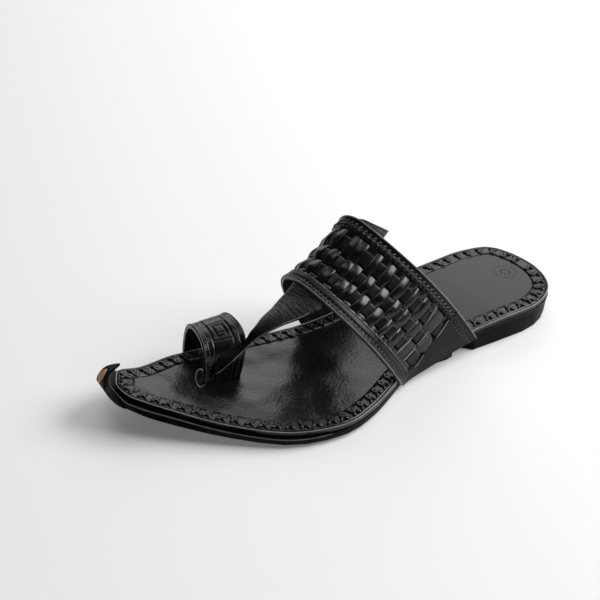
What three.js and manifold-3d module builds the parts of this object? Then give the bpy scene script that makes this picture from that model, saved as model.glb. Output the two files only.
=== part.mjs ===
// A left kolhapuri sandal: insole, outsole with a curled toe, heel, forefoot tread, and an upper
// of one woven instep band, a link strap and a toe ring. Millimetres, +Z up, toe towards -Y,
// the outer (lateral) side of the foot towards +X.
import * as THREE from 'three';
import { mergeVertices } from 'three/addons/utils/BufferGeometryUtils.js';
import Module from 'manifold-3d';

const wasm = await Module();
wasm.setup();

// ---------------------------------------------------------------- driving dimensions
const FOOT_BED_LENGTH = 285; // insole, heel to toe
const GAP = 0.3; // clearance between neighbouring pieces
const INSOLE_THICKNESS = 2.8;
const OUTSOLE_THICKNESS = 3.6;
const HEEL_SEAT_HEIGHT = 17.6; // top of the insole under the heel
const FOREFOOT_HEIGHT = 8.4; // top of the insole under the ball
const TOE_SPRING = 15; // lift of the insole's tip above the forefoot
const SPRING_START = 0.72; // station, counted from the heel, where the toe begins to lift
const ARCH_START = 0.18; // stations between which the heel seat runs down to the forefoot
const ARCH_END = 0.55;
const EDGE_BREAK = 0.5; // small chamfer that burnishing leaves on a leather edge

// Outline of the insole: station from heel (0) to tip (1), then the x of the lateral and of
// the medial edge, and how far the outsole stands out past that edge: its upper face, and, where
// its edge slants, its lower face. In the last two rows the outsole has its own outline instead.
const SOLE_ROWS = [
  { station: 0.03, lateral: 24.9, medial: -30.5, ledge: 0.4 },
  { station: 0.1, lateral: 37.1, medial: -37.3, ledge: 0.4 },
  { station: 0.2, lateral: 38.9, medial: -36.3, ledge: 0.2 },
  { station: 0.3, lateral: 38.7, medial: -34.9, ledge: 0 },
  { station: 0.4, lateral: 41.4, medial: -31.2, ledge: 0 },
  { station: 0.47, lateral: 44.3, medial: -29.6, ledge: 0 },
  { station: 0.52, lateral: 51.3, medial: -29.2, ledge: 0 },
  { station: 0.58, lateral: 59.3, medial: -29.5, ledge: 0.2 },
  { station: 0.65, lateral: 63.9, medial: -32.2, ledge: 0.8 },
  { station: 0.75, lateral: 56.3, medial: -36.6, ledge: 2.8 },
  { station: 0.85, lateral: 36.7, medial: -36.5, ledge: 3.2, lowerLedge: 3.5 },
  { station: 0.93, lateral: 16.1, medial: -29.2, ledge: 3.9, lowerLedge: 6 },
  { station: 0.975, lateral: 4.4, medial: -27.3 },
  { station: 0.991, lateral: -0.8, medial: -19.5 },
];
const INSOLE_TIP_X = -11.5;

// The outsole's toe runs on past the insole as a tongue that curls up and back to a point.
// Each row is the length of leather past the curl's start and the x of the two edges of the
// outsole's upper face, and then the same three of its lower face.
const CURL_START_Y = -143;
const CURL_RADIUS = 3.9; // of its upper face
const CURL_END_ANGLE = 178; // degrees from lying forward to pointing back
const UPPER_TOE_ROWS = [
  { past: -7.6, lateral: 9.4, medial: -31.5 },
  { past: -3.1, lateral: 5, medial: -29.8 },
  { past: 0, lateral: 1.2, medial: -27.8 },
  { past: 1.4, lateral: -5, medial: -26.6 },
  { past: 2.6, lateral: -11, medial: -26 },
  { past: 4, lateral: -13.6, medial: -24.8 },
  { past: 7, lateral: -15.2, medial: -23.4 },
  { past: 10, lateral: -16.8, medial: -22.8 },
  { past: 13, lateral: -19.2, medial: -22.6 },
];
const LOWER_TOE_ROWS = [
  { past: -7.6, lateral: 11.5, medial: -33.4 },
  { past: -3.1, lateral: 6.3, medial: -31.6 },
  { past: 0, lateral: 2.3, medial: -29.4 },
  { past: 1.7, lateral: -1.4, medial: -27.4 },
  { past: 3, lateral: -6.2, medial: -25.6 },
  { past: 4.2, lateral: -11.4, medial: -23.6 },
  { past: 7, lateral: -15, medial: -22.8 },
  { past: 10, lateral: -16.8, medial: -22.6 },
  { past: 13, lateral: -19.2, medial: -22.6 },
];
const CURL_LENGTH = 16.7;
const CURL_TIP_X = -21.6;
const CURL_TIP_THICKNESS = 1.2;
// The leather is thicker where it turns up.
const CURL_SWELL = 0.3; // share of the thickness
const CURL_SWELL_MIDDLE = 3.6; // length past the curl's start, and how far to both sides
const CURL_SWELL_REACH = 3.6;

const HEEL_BREAST_Y = 65; // front of the heel at its two edges
const HEEL_BREAST_BULGE = 14; // how far its middle stands forward
const HEEL_TAPER = 1.2; // the bottom is that much smaller all round
const TREAD_REAR_Y = 53;
const TREAD_FRONT_Y = -108;
const TREAD_INSET = 4.2;
const TREAD_TAIL_SPREAD = 2; // its rear end is trodden wider by this much on each side
const TREAD_TAIL_LENGTH = 12;
const TREAD_ROLL = 6; // length over which its rear end rounds up
const TREAD_FRONT_ROUND = 18; // length over which its front end narrows, and to what share
const TREAD_FRONT_WIDTH = 0.55;
const TREAD_REAR_WIDTH = 0.9;
const TREAD_REAR_HOLLOW = 7; // its rear edge curves forward round the heel's front by this much

// The instep band: two arches, at its front and its rear edge. y of the two feet, rise of the
// crown above them, sway of the crown sideways, lean of the crown towards the toe (negative),
// and tilt, which makes the medial shoulder higher than the lateral one.
const BAND_ARCHES = {
  front: { rise: 53.8, sway: 0.5, lean: -28.8, lateralY: 1.0, medialY: -16.6, tilt: 0.11 },
  rear: { rise: 73.9, sway: 0.3, lean: -42.5, lateralY: 60.5, medialY: 33.1, tilt: 0.15 },
};
const BAND_SPREAD = 1.15; // exponents of the arch: how quickly it crosses, and how square it is
const BAND_SQUARENESS = 0.7;
const BAND_SAG = 2; // dip of the crown half way between front and rear edge
const BAND_WALL = 2.6; // woven part
const PANEL_WALL = 1.4; // plain leather panel beside the sole
const PANEL_LIFT = 1; // the arch starts this far above the insole
const PANEL_BLEND = 0.16; // share of the arch over which the wall thickens

// The toe ring: the same kind of arch at its front and rear rim.
const RING_ARCHES = {
  front: { rise: 28.2, sway: 2, lean: 2.8, lateralX: -3.6, lateralY: -95.4, medialY: -91.7 },
  rear: { rise: 31.5, sway: 2.7, lean: 8.2, lateralX: -0.7, lateralY: -74.4, medialY: -75.1 },
};
const RING_SPREAD = 0.82;
const RING_SQUARENESS = 0.56;
const RING_WALL = 2.4;

// The link strap starts on the ring's lateral wall. Each row is a share of the ring's length and
// the two shares of the way round the ring between which the strap lies.
const STRAP_ON_RING = [
  { share: 0.2, lateral: 0.115, medial: 0.16 },
  { share: 0.36, lateral: 0.135, medial: 0.235 },
  { share: 0.52, lateral: 0.168, medial: 0.245 },
  { share: 0.68, lateral: 0.2, medial: 0.257 },
  { share: 0.86, lateral: 0.236, medial: 0.275 },
];
// Then it hangs free, turning from upright to flat. Each row has its lateral edge, its medial
// edge and how far the middle stands proud of the straight line between them.
const STRAP_FREE = [
  { lateral: [0.6, -67.3, 30.5], medial: [-2.6, -65.5, 36], crown: 0.8 },
  { lateral: [3.8, -63.9, 35.3], medial: [-3, -62.3, 38.2], crown: 1.4 },
  { lateral: [8.3, -58.7, 40.8], medial: [-3.8, -57.5, 42.3], crown: 1.9 },
  { lateral: [13, -53.2, 46], medial: [-4.2, -51.6, 45.8], crown: 1.9 },
  { lateral: [18, -45.4, 50.4], medial: [-4.1, -46.3, 50.4], crown: 1.5 },
  { lateral: [21.4, -36.8, 54.6], medial: [-3.4, -41.6, 54.8], crown: 1.2 },
];
const STRAP_WALL = 1.8;
// Under the band it runs between these shares of the band's width, at its front and rear edge,
// and its cut end sticks out behind.
const STRAP_UNDER_BAND = { frontLateral: 0.41, frontMedial: 0.575, rearLateral: 0.437, rearMedial: 0.53 };
const STRAP_MEETS_BAND = 0.08; // share of the band's width where it first touches it
const STRAP_END = { lateral: 5.5, medial: 0.5 };
const STRAP_CONTACT = 0.3; // how deep the strap's skin is joined into the wall it lies on

const STRAP_INWARDS = new THREE.Vector3(-0.6, 0.4, -1); // from its outer face into the leather
const SLIT_OVERCUT = 1; // the insole's slit is cut this much deeper than the ring's leg

// Points from which the walls of the band and of the ring face outwards.
const BAND_MIDDLE = new THREE.Vector3(5, 10, 10);
const RING_MIDDLE = new THREE.Vector3(-20, -84, 18);

// From the last's own lines to the middle of the shoe's footprint.
const FRAME_SHIFT = new THREE.Vector3(-12.12, 3.28, 0);

// mesh density, and the distance below which two points are one
const SOLE_STEPS = 56;
const SOLE_COLUMNS = 6;
const TREAD_STEPS = 40;
const BAND_STEPS = 60;
const BAND_COLUMNS = 14;
const RING_STEPS = 40;
const RING_COLUMNS = 6;
const STRAP_STEPS = 36;
const STRAP_COLUMNS = 6;
const STRAP_UNDER_STEPS = 4;
const FOOT_STEPS = 6; // straight part of the band beside the sole
const ARCH_STEPS = 240; // points on an arch before it is cut into equal steps
const SLIT_POINTS = 8; // points of the ring's leg that the slit follows
const MERGE_DISTANCE = 1e-4;

// ---------------------------------------------------------------- small helpers
const clamp01 = (v) => Math.min(Math.max(v, 0), 1);
const smooth = (v) => clamp01(v) ** 2 * (3 - 2 * clamp01(v));
const mix = (a, b, t) => a + (b - a) * t;
const mixRows = (a, b, t) => Object.fromEntries(Object.keys(a).map((k) => [k, mix(a[k], b[k], t)]));
const range = (n) => Array.from({ length: n + 1 }, (_, i) => i / n);
const stationOf = (y) => 0.5 - y / FOOT_BED_LENGTH;
const yOf = (station) => FOOT_BED_LENGTH * (0.5 - station);

// Height of the insole's upper face at a place along the foot.
function topHeight(y) {
  const station = stationOf(y);
  const slope = smooth((station - ARCH_START) / (ARCH_END - ARCH_START));
  const lift = Math.max((station - SPRING_START) / (1 - SPRING_START), 0);
  return mix(HEEL_SEAT_HEIGHT, FOREFOOT_HEIGHT, slope) + TOE_SPRING * lift ** 2;
}
const outsoleTop = (y) => topHeight(y) - INSOLE_THICKNESS - GAP;
const outsoleBottom = (y) => outsoleTop(y) - OUTSOLE_THICKNESS;

// Closed geometry from vertices and triangles, facing out, with its shared vertices merged.
function closedGeometry(points, triangles) {
  let geometry = new THREE.BufferGeometry();
  geometry.setAttribute('position', new THREE.Float32BufferAttribute(points.flatMap((p) => p.toArray()), 3));
  geometry.setIndex(triangles.flat());
  geometry = mergeVertices(geometry, MERGE_DISTANCE);
  const index = geometry.index.array;
  const position = geometry.attributes.position;
  const kept = [];
  let volume = 0;
  for (let i = 0; i < index.length; i += 3) {
    const [a, b, c] = [index[i], index[i + 1], index[i + 2]];
    if (a === b || b === c || c === a) continue;
    kept.push([a, b, c]);
    const [pa, pb, pc] = [a, b, c].map((k) => new THREE.Vector3().fromBufferAttribute(position, k));
    volume += pa.dot(pb.cross(pc));
  }
  geometry.setIndex((volume < 0 ? kept.map(([a, b, c]) => [a, c, b]) : kept).flat());
  return geometry;
}

function toSolid(geometry) {
  return new wasm.Manifold(new wasm.Mesh({
    numProp: 3,
    vertProperties: new Float32Array(geometry.attributes.position.array),
    triVerts: new Uint32Array(geometry.index.array),
  }));
}

function fromSolid(solid) {
  const mesh = solid.getMesh();
  const geometry = new THREE.BufferGeometry();
  geometry.setAttribute('position', new THREE.Float32BufferAttribute(mesh.vertProperties, 3));
  geometry.setIndex([...mesh.triVerts]);
  return geometry;
}

// Two triangles over each cell of a grid of point numbers.
function cells(at, rows, columns, flip) {
  const triangles = [];
  for (let r = 0; r < rows; r += 1) {
    for (let c = 0; c < columns; c += 1) {
      const [a, b, d, e] = [at(r, c), at(r + 1, c), at(r + 1, c + 1), at(r, c + 1)];
      triangles.push(flip ? [a, d, b] : [a, b, d], flip ? [a, e, d] : [a, d, e]);
    }
  }
  return triangles;
}

// The points round the edge of a grid, in order.
function border(rows, columns) {
  const ring = [];
  for (let c = 0; c < columns; c += 1) ring.push([0, c]);
  for (let r = 0; r < rows; r += 1) ring.push([r, columns]);
  for (let c = columns; c > 0; c -= 1) ring.push([rows, c]);
  for (let r = rows; r > 0; r -= 1) ring.push([r, 0]);
  return ring;
}

// A body between stacked grids of points: the first and last grid are its faces, and the
// borders of all of them, one after the other, make its edge.
function stackedBody(grids) {
  const rows = grids[0].length - 1;
  const columns = grids[0][0].length - 1;
  const size = (rows + 1) * (columns + 1);
  const at = (g) => (r, c) => g * size + r * (columns + 1) + c;
  const last = grids.length - 1;
  const triangles = [...cells(at(0), rows, columns, false), ...cells(at(last), rows, columns, true)];
  const ring = border(rows, columns);
  for (let g = 0; g < last; g += 1) {
    ring.forEach(([r, c], i) => {
      const [r2, c2] = ring[(i + 1) % ring.length];
      const [a, b] = [at(g)(r, c), at(g)(r2, c2)];
      const [d, e] = [at(g + 1)(r2, c2), at(g + 1)(r, c)];
      triangles.push([a, b, d], [a, d, e]);
    });
  }
  return closedGeometry(grids.flat(2), triangles);
}

// ---------------------------------------------------------------- outlines of the sole
// Rows of edge points down both sides, from the middle of the heel to the tip.
function outlineRows(rows, heelY, tip) {
  const lateral = rows.map((r) => new THREE.Vector3(r.lateral, r.y, 0));
  const medial = rows.map((r) => new THREE.Vector3(r.medial, r.y, 0)).reverse();
  const corners = [new THREE.Vector3(0, heelY, 0), ...lateral, tip, ...medial];
  const curve = new THREE.CatmullRomCurve3(corners, true, 'centripetal');
  return range(SOLE_STEPS).map((t) => ({
    lateral: curve.getPoint(t / 2),
    medial: curve.getPoint((1 - t / 2) % 1),
  }));
}

// The same rows moved inwards (or outwards, if negative) square to the edge, by a distance
// that may change along the foot.
function insetRows(rows, inset) {
  const distance = typeof inset === 'function' ? inset : () => inset;
  const count = rows.length;
  const loop = [...rows.map((r) => r.lateral), ...rows.map((r) => r.medial).reverse().slice(1, -1)];
  const moved = loop.map((p, i) => {
    const before = loop[(i + loop.length - 1) % loop.length];
    const after = loop[(i + 1) % loop.length];
    const along = after.clone().sub(before).normalize();
    return p.clone().add(new THREE.Vector3(along.y, -along.x, 0).multiplyScalar(distance(p.y)));
  });
  return rows.map((_, i) => ({
    lateral: moved[i],
    medial: i === 0 || i === count - 1 ? moved[i] : moved[loop.length - i],
  }));
}

const across = (row, c) => row.lateral.clone().lerp(row.medial, c);
const gridOf = (rows, place) => rows.map((row, r) => (
  range(SOLE_COLUMNS).map((c) => place(across(row, c), r, c))
));

const insoleRows = outlineRows(
  SOLE_ROWS.map((r) => ({ y: yOf(r.station), lateral: r.lateral, medial: r.medial })),
  yOf(0),
  new THREE.Vector3(INSOLE_TIP_X, yOf(1), 0),
);

// x of the insole's edge, moved out by a distance, where it passes a given y.
function edgeAt(side, distance) {
  const points = insetRows(insoleRows, -distance).map((r) => r[side]);
  return (y) => {
    const i = points.findIndex((p, k) => k > 0 && p.y <= y && points[k - 1].y >= y);
    const [a, b] = [points[i - 1], points[i]];
    return mix(a.x, b.x, (y - a.y) / (b.y - a.y));
  };
}

// ---------------------------------------------------------------- sole pieces
function insoleGeometry() {
  const layer = (inset, drop) => gridOf(
    insetRows(insoleRows, inset),
    (p) => p.setZ(topHeight(p.y) - drop),
  );
  return stackedBody([
    layer(EDGE_BREAK, 0),
    layer(0, EDGE_BREAK),
    layer(0, INSOLE_THICKNESS - EDGE_BREAK),
    layer(EDGE_BREAK, INSOLE_THICKNESS),
  ]);
}

// The outsole is drawn flat, then its toe is bent up and back along an arc, getting thinner.
function curl(p, depth) {
  const past = CURL_START_Y - p.y;
  if (past <= 0) return new THREE.Vector3(p.x, p.y, outsoleTop(p.y) - depth);
  const start = Math.atan2(outsoleTop(CURL_START_Y - 1) - outsoleTop(CURL_START_Y), 1);
  const angle = Math.min(start + past / CURL_RADIUS, THREE.MathUtils.degToRad(CURL_END_ANGLE));
  const straight = Math.max(past - CURL_RADIUS * (angle - start), 0);
  const thinning = mix(1, CURL_TIP_THICKNESS / OUTSOLE_THICKNESS, past / CURL_LENGTH);
  const swelling = CURL_SWELL * smooth(1 - Math.abs(past - CURL_SWELL_MIDDLE) / CURL_SWELL_REACH);
  const radius = CURL_RADIUS + depth * (thinning + swelling);
  const centreY = CURL_START_Y + CURL_RADIUS * Math.sin(start);
  const centreZ = outsoleTop(CURL_START_Y) + CURL_RADIUS * Math.cos(start);
  return new THREE.Vector3(
    p.x,
    centreY - radius * Math.sin(angle) - straight * Math.cos(angle),
    centreZ - radius * Math.cos(angle) + straight * Math.sin(angle),
  );
}

function outsoleOutline(toeRows, ledgeOf) {
  const body = SOLE_ROWS.filter((r) => r.ledge !== undefined).map((r) => (
    { y: yOf(r.station), lateral: r.lateral + ledgeOf(r), medial: r.medial - ledgeOf(r) }
  ));
  const toe = toeRows.map((r) => ({ y: CURL_START_Y - r.past, lateral: r.lateral, medial: r.medial }));
  const tip = new THREE.Vector3(CURL_TIP_X, CURL_START_Y - CURL_LENGTH, 0);
  return outlineRows([...body, ...toe], yOf(0) + SOLE_ROWS[0].ledge, tip);
}

const outsoleRows = outsoleOutline(UPPER_TOE_ROWS, (r) => r.ledge);
const outsoleLowerRows = outsoleOutline(LOWER_TOE_ROWS, (r) => r.lowerLedge ?? r.ledge);

function outsoleGeometry() {
  const layer = (rows, inset, depth) => gridOf(insetRows(rows, inset), (p) => curl(p, depth));
  return stackedBody([
    layer(outsoleRows, EDGE_BREAK, 0),
    layer(outsoleRows, 0, EDGE_BREAK),
    layer(outsoleLowerRows, 0, OUTSOLE_THICKNESS - EDGE_BREAK),
    layer(outsoleLowerRows, EDGE_BREAK, OUTSOLE_THICKNESS),
  ]);
}

// The rows of the outsole between two places along the foot, with exact rows at both ends.
function rowsBetween(rows, rearY, frontY, steps) {
  const side = (name, y) => {
    const i = rows.findIndex((r, k) => k > 0 && r[name].y <= y && rows[k - 1][name].y >= y);
    const [a, b] = [rows[i - 1][name], rows[i][name]];
    return a.clone().lerp(b, (y - a.y) / (b.y - a.y));
  };
  return range(steps).map((t) => {
    const y = mix(rearY, frontY, t);
    return { lateral: side('lateral', y), medial: side('medial', y) };
  });
}

function heelGeometry() {
  const layer = (inset, height) => {
    const rows = insetRows(outsoleRows, inset);
    const count = rows.findIndex((r) => r.lateral.y < HEEL_BREAST_Y);
    const seat = rows.slice(0, count).concat(rowsBetween(rows, HEEL_BREAST_Y, HEEL_BREAST_Y - 1, 1)[0]);
    return gridOf(seat, (p, r, c) => {
      const forward = (r / count) ** 2 * (1 - Math.abs(2 * c - 1) ** 4);
      p.y -= HEEL_BREAST_BULGE * forward;
      return p.setZ(height(p.y));
    });
  };
  const top = (drop) => (y) => outsoleBottom(y) - GAP - drop;
  return stackedBody([
    layer(EDGE_BREAK, top(0)),
    layer(EDGE_BREAK, top(EDGE_BREAK)),
    layer(HEEL_TAPER, () => EDGE_BREAK),
    layer(HEEL_TAPER + EDGE_BREAK, () => 0),
  ]);
}

function treadGeometry() {
  const spread = (y) => TREAD_TAIL_SPREAD * smooth((y - TREAD_REAR_Y + TREAD_TAIL_LENGTH) / TREAD_ROLL);
  const edges = insetRows(outsoleRows, (y) => TREAD_INSET - spread(y));
  const rows = rowsBetween(edges, TREAD_REAR_Y, TREAD_FRONT_Y, TREAD_STEPS);
  const layer = (height) => gridOf(rows, (p, r, c) => {
    const fromFront = clamp01((p.y - TREAD_FRONT_Y) / TREAD_FRONT_ROUND);
    const fromRear = clamp01((TREAD_REAR_Y - p.y) / TREAD_ROLL);
    const middle = (rows[r].lateral.x + rows[r].medial.x) / 2;
    const front = mix(TREAD_FRONT_WIDTH, 1, Math.sqrt(1 - (1 - fromFront) ** 2));
    const rear = mix(TREAD_REAR_WIDTH, 1, Math.sqrt(1 - (1 - fromRear) ** 2));
    p.x = middle + (p.x - middle) * front * rear;
    const drop = height(p.y);
    const nearRear = clamp01(1 - (TREAD_REAR_Y - p.y) / (3 * TREAD_REAR_HOLLOW));
    p.y -= TREAD_REAR_HOLLOW * nearRear * (1 - (2 * c - 1) ** 2);
    return p.setZ(Math.min(drop, outsoleBottom(p.y) - GAP));
  });
  const top = (y) => outsoleBottom(y) - GAP;
  const bottom = (y) => {
    const rolled = clamp01((y - TREAD_REAR_Y + TREAD_ROLL) / TREAD_ROLL) ** 2;
    const lifted = topHeight(y) - FOREFOOT_HEIGHT;
    return mix(stationOf(y) > ARCH_END ? lifted : 0, top(y) - EDGE_BREAK, rolled);
  };
  return stackedBody([layer(top), layer(bottom)]);
}

// ---------------------------------------------------------------- shells of the upper
// A point on an arch that stands on two feet. turn runs from 0 to pi across it.
function archPoint(turn, lateralFoot, medialFoot, arch, spread, squareness) {
  const cos = Math.cos(turn);
  const hump = Math.max(Math.sin(turn), 0) ** squareness;
  const crossing = (1 - Math.sign(cos) * Math.abs(cos) ** spread) / 2;
  const p = lateralFoot.clone().lerp(medialFoot, crossing);
  p.x += arch.sway * hump;
  p.y += arch.lean * hump;
  p.z += arch.rise * hump * (1 - (arch.tilt ?? 0) * cos);
  return p;
}

// A curve given by dense points, cut again into equal steps.
function evenly(points, steps) {
  const curve = new THREE.CurvePath();
  for (let i = 1; i < points.length; i += 1) curve.add(new THREE.LineCurve3(points[i - 1], points[i]));
  return range(steps).map((t) => curve.getPointAt(t));
}

// A wall of given thickness inside a grid of points on its outer face.
function wall(grid, thickness, inwards) {
  const rows = grid.length;
  const columns = grid[0].length;
  const at = (r, c) => grid[Math.min(Math.max(r, 0), rows - 1)][Math.min(Math.max(c, 0), columns - 1)];
  return grid.map((line, r) => line.map((p, c) => {
    const down = at(r + 1, c).clone().sub(at(r - 1, c));
    const over = at(r, c + 1).clone().sub(at(r, c - 1));
    const normal = down.cross(over).normalize();
    if (normal.dot(inwards(p, r, c)) < 0) normal.negate();
    return p.clone().addScaledVector(normal, thickness(r / (rows - 1), c / (columns - 1)));
  }));
}

// One line across the band, from the lateral foot of the panel to the medial one.
function bandLine(share) {
  const arch = mixRows(BAND_ARCHES.front, BAND_ARCHES.rear, share);
  arch.rise -= BAND_SAG * 4 * share * (1 - share);
  const outside = GAP + PANEL_WALL;
  const foot = (side, y) => {
    const z = topHeight(y) + PANEL_LIFT;
    const edge = edgeAt(side, outside);
    const slant = arch.lean / arch.rise;
    const drop = z - outsoleBottom(y);
    return range(FOOT_STEPS).map((t) => {
      const at = y - slant * drop * (1 - t);
      return new THREE.Vector3(edge(at), at, mix(outsoleBottom(at) + EDGE_BREAK, z, t));
    });
  };
  const lateral = foot('lateral', arch.lateralY);
  const medial = foot('medial', arch.medialY);
  const crown = range(ARCH_STEPS).slice(1, -1).map((t) => (
    archPoint(Math.PI * t, lateral.at(-1), medial.at(-1), arch, BAND_SPREAD, BAND_SQUARENESS)
  ));
  return [...lateral, ...crown, ...medial.reverse()];
}

const bandGrid = range(BAND_COLUMNS).map((share) => evenly(bandLine(share), BAND_STEPS));
const bandThickness = (share, t) => {
  const fromFoot = Math.min(t, 1 - t) / PANEL_BLEND;
  return mix(PANEL_WALL, BAND_WALL, smooth(fromFoot));
};
const towardsMiddle = (p) => BAND_MIDDLE.clone().sub(p).setY(0);

function bandGeometry() {
  return stackedBody([bandGrid, wall(bandGrid, bandThickness, towardsMiddle)]);
}

// One line across the toe ring. The lateral leg goes down through the insole's slit, and the
// medial leg stands just outside the insole's edge, on the outsole.
function ringLine(share) {
  const arch = mixRows(RING_ARCHES.front, RING_ARCHES.rear, share);
  const legEnd = (y) => topHeight(y) - INSOLE_THICKNESS;
  const medialX = edgeAt('medial', GAP + RING_WALL)(arch.medialY);
  const lateralFoot = new THREE.Vector3(arch.lateralX, arch.lateralY, legEnd(arch.lateralY));
  const medialFoot = new THREE.Vector3(medialX, arch.medialY, legEnd(arch.medialY));
  return range(ARCH_STEPS).map((t) => (
    archPoint(Math.PI * t, lateralFoot, medialFoot, arch, RING_SPREAD, RING_SQUARENESS)
  ));
}

const ringGrid = range(RING_COLUMNS).map((share) => evenly(ringLine(share), RING_STEPS));
const towardsRingMiddle = (p) => RING_MIDDLE.clone().sub(p).setY(0);

function ringGeometry() {
  return stackedBody([ringGrid, wall(ringGrid, () => RING_WALL, towardsRingMiddle)]);
}

// A point on a grid, by its share of the rows and of the columns.
function pointOn(grid, share, t) {
  const r = share * (grid.length - 1);
  const c = t * (grid[0].length - 1);
  const [r0, c0] = [Math.min(Math.floor(r), grid.length - 2), Math.floor(c)];
  const line = (k) => grid[k][c0].clone().lerp(grid[k][c0 + 1], c - c0);
  return line(r0).lerp(line(r0 + 1), r - r0);
}

// The strap's outer face, from the ring to its cut end behind the band.
function strapGrid() {
  const aboveRing = wall(ringGrid, () => 2 * STRAP_CONTACT - STRAP_WALL, towardsRingMiddle);
  const bandInner = wall(bandGrid, bandThickness, towardsMiddle);
  const column = (w) => {
    const onRing = STRAP_ON_RING.map((r) => pointOn(aboveRing, r.share, mix(r.lateral, r.medial, w)));
    const free = STRAP_FREE.map((row) => {
      const a = new THREE.Vector3(...row.lateral);
      const b = new THREE.Vector3(...row.medial);
      const p = a.clone().lerp(b, w);
      p.z += row.crown * 4 * w * (1 - w);
      p.x += row.crown * w * (1 - w);
      return p;
    });
    const under = range(STRAP_UNDER_STEPS).map((share) => {
      const lateral = mix(STRAP_UNDER_BAND.frontLateral, STRAP_UNDER_BAND.rearLateral, share);
      const medial = mix(STRAP_UNDER_BAND.frontMedial, STRAP_UNDER_BAND.rearMedial, share);
      return pointOn(bandInner, mix(STRAP_MEETS_BAND, 1, share), mix(lateral, medial, w));
    });
    const end = under.at(-1).clone().sub(under.at(-2)).normalize();
    end.multiplyScalar(mix(STRAP_END.lateral, STRAP_END.medial, w)).add(under.at(-1));
    const route = new THREE.CatmullRomCurve3([...onRing, ...free, ...under, end], false, 'centripetal');
    return route.getPoints(STRAP_STEPS);
  };
  return range(STRAP_COLUMNS).map(column);
}

function strapGeometry() {
  const face = strapGrid();
  const inwards = () => STRAP_INWARDS;
  const proud = wall(face, () => -STRAP_CONTACT, inwards);
  return stackedBody([proud, wall(face, () => STRAP_WALL - STRAP_CONTACT, inwards)]);
}

// ---------------------------------------------------------------- the object
const material = (color, roughness) => new THREE.MeshStandardMaterial({ color, roughness, metalness: 0 });

function piece(name, geometry, color, roughness) {
  const mesh = new THREE.Mesh(geometry, material(color, roughness));
  mesh.name = name;
  return mesh;
}

// The insole's slit is the ring's own leg, grown by the gap on every side.
function slitGeometry() {
  const grown = ringGrid.map((line) => line.slice(0, SLIT_POINTS));
  const outer = wall(grown, () => -GAP, towardsRingMiddle);
  const inner = wall(grown, () => RING_WALL + GAP, towardsRingMiddle);
  const lengthen = (grid) => grid.map((line, r) => line.map((p, c) => {
    const q = p.clone();
    if (r === 0) q.y -= GAP;
    if (r === grid.length - 1) q.y += GAP;
    if (c === 0) q.z -= SLIT_OVERCUT;
    return q;
  }));
  return stackedBody([lengthen(outer), lengthen(inner)]);
}

const insoleSolid = toSolid(insoleGeometry()).subtract(toSolid(slitGeometry()));
const upperSolid = toSolid(bandGeometry()).add(toSolid(ringGeometry())).add(toSolid(strapGeometry()));

const group = new THREE.Group();
group.add(
  piece('outsole', outsoleGeometry(), 0x121314, 0.5),
  piece('insole', fromSolid(insoleSolid), 0x202224, 0.4),
  piece('heel', heelGeometry(), 0x101112, 0.55),
  piece('forefoot_tread', treadGeometry(), 0x0e0f10, 0.7),
  piece('upper', fromSolid(upperSolid), 0x151617, 0.38),
);
group.position.copy(FRAME_SHIFT);

export default group;
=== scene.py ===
# %% [markdown]
# # A woven leather sandal, left foot
# The sandal is a flat sole under a woven instep band, a ring for the big toe and a strap that
# links the two. Engineering solids of its pieces already exist. We load them first, because
# every piece made here has to sit in the same place and fill the same space.

# %% Load the solids and note their box
import math
import random

import bpy
import numpy as np
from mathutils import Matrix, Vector


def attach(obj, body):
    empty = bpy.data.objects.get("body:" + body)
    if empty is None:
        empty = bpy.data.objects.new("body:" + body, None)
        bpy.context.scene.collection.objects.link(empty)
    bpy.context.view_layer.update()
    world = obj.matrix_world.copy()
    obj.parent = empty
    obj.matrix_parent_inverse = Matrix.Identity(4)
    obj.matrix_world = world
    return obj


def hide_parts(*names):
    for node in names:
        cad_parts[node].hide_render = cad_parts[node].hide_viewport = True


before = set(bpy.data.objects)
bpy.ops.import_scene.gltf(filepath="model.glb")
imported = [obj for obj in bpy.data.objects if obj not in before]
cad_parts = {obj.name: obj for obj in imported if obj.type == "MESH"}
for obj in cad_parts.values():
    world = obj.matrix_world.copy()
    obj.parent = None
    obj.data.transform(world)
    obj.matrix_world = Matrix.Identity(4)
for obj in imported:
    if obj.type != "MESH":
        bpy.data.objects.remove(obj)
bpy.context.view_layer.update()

# %% [markdown]
# ## The last
# A shoe is built on a last, so the last's own formulas place every strip, stitch and knot.
# We could project pieces onto the solids with a Shrinkwrap modifier, but formulas say exactly
# where "5 mm in from the edge" or "a third of the way over the instep" is. All sizes are in
# millimetres, toe towards -Y, outer side of the foot towards +X, height Z from the floor.

# %% Sizes of the last
MILLIMETRE = 0.001
LAST_TO_FRAME = np.array([-12.12, 3.28, 0.0])
FOOT_BED = 285.0
HEEL_SEAT, FOREFOOT, TOE_SPRING = 17.6, 8.4, 15.0
INSOLE_THICK, OUTSOLE_THICK, GAP = 2.8, 3.6, 0.3
OUTLINE_POINTS = 720

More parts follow.
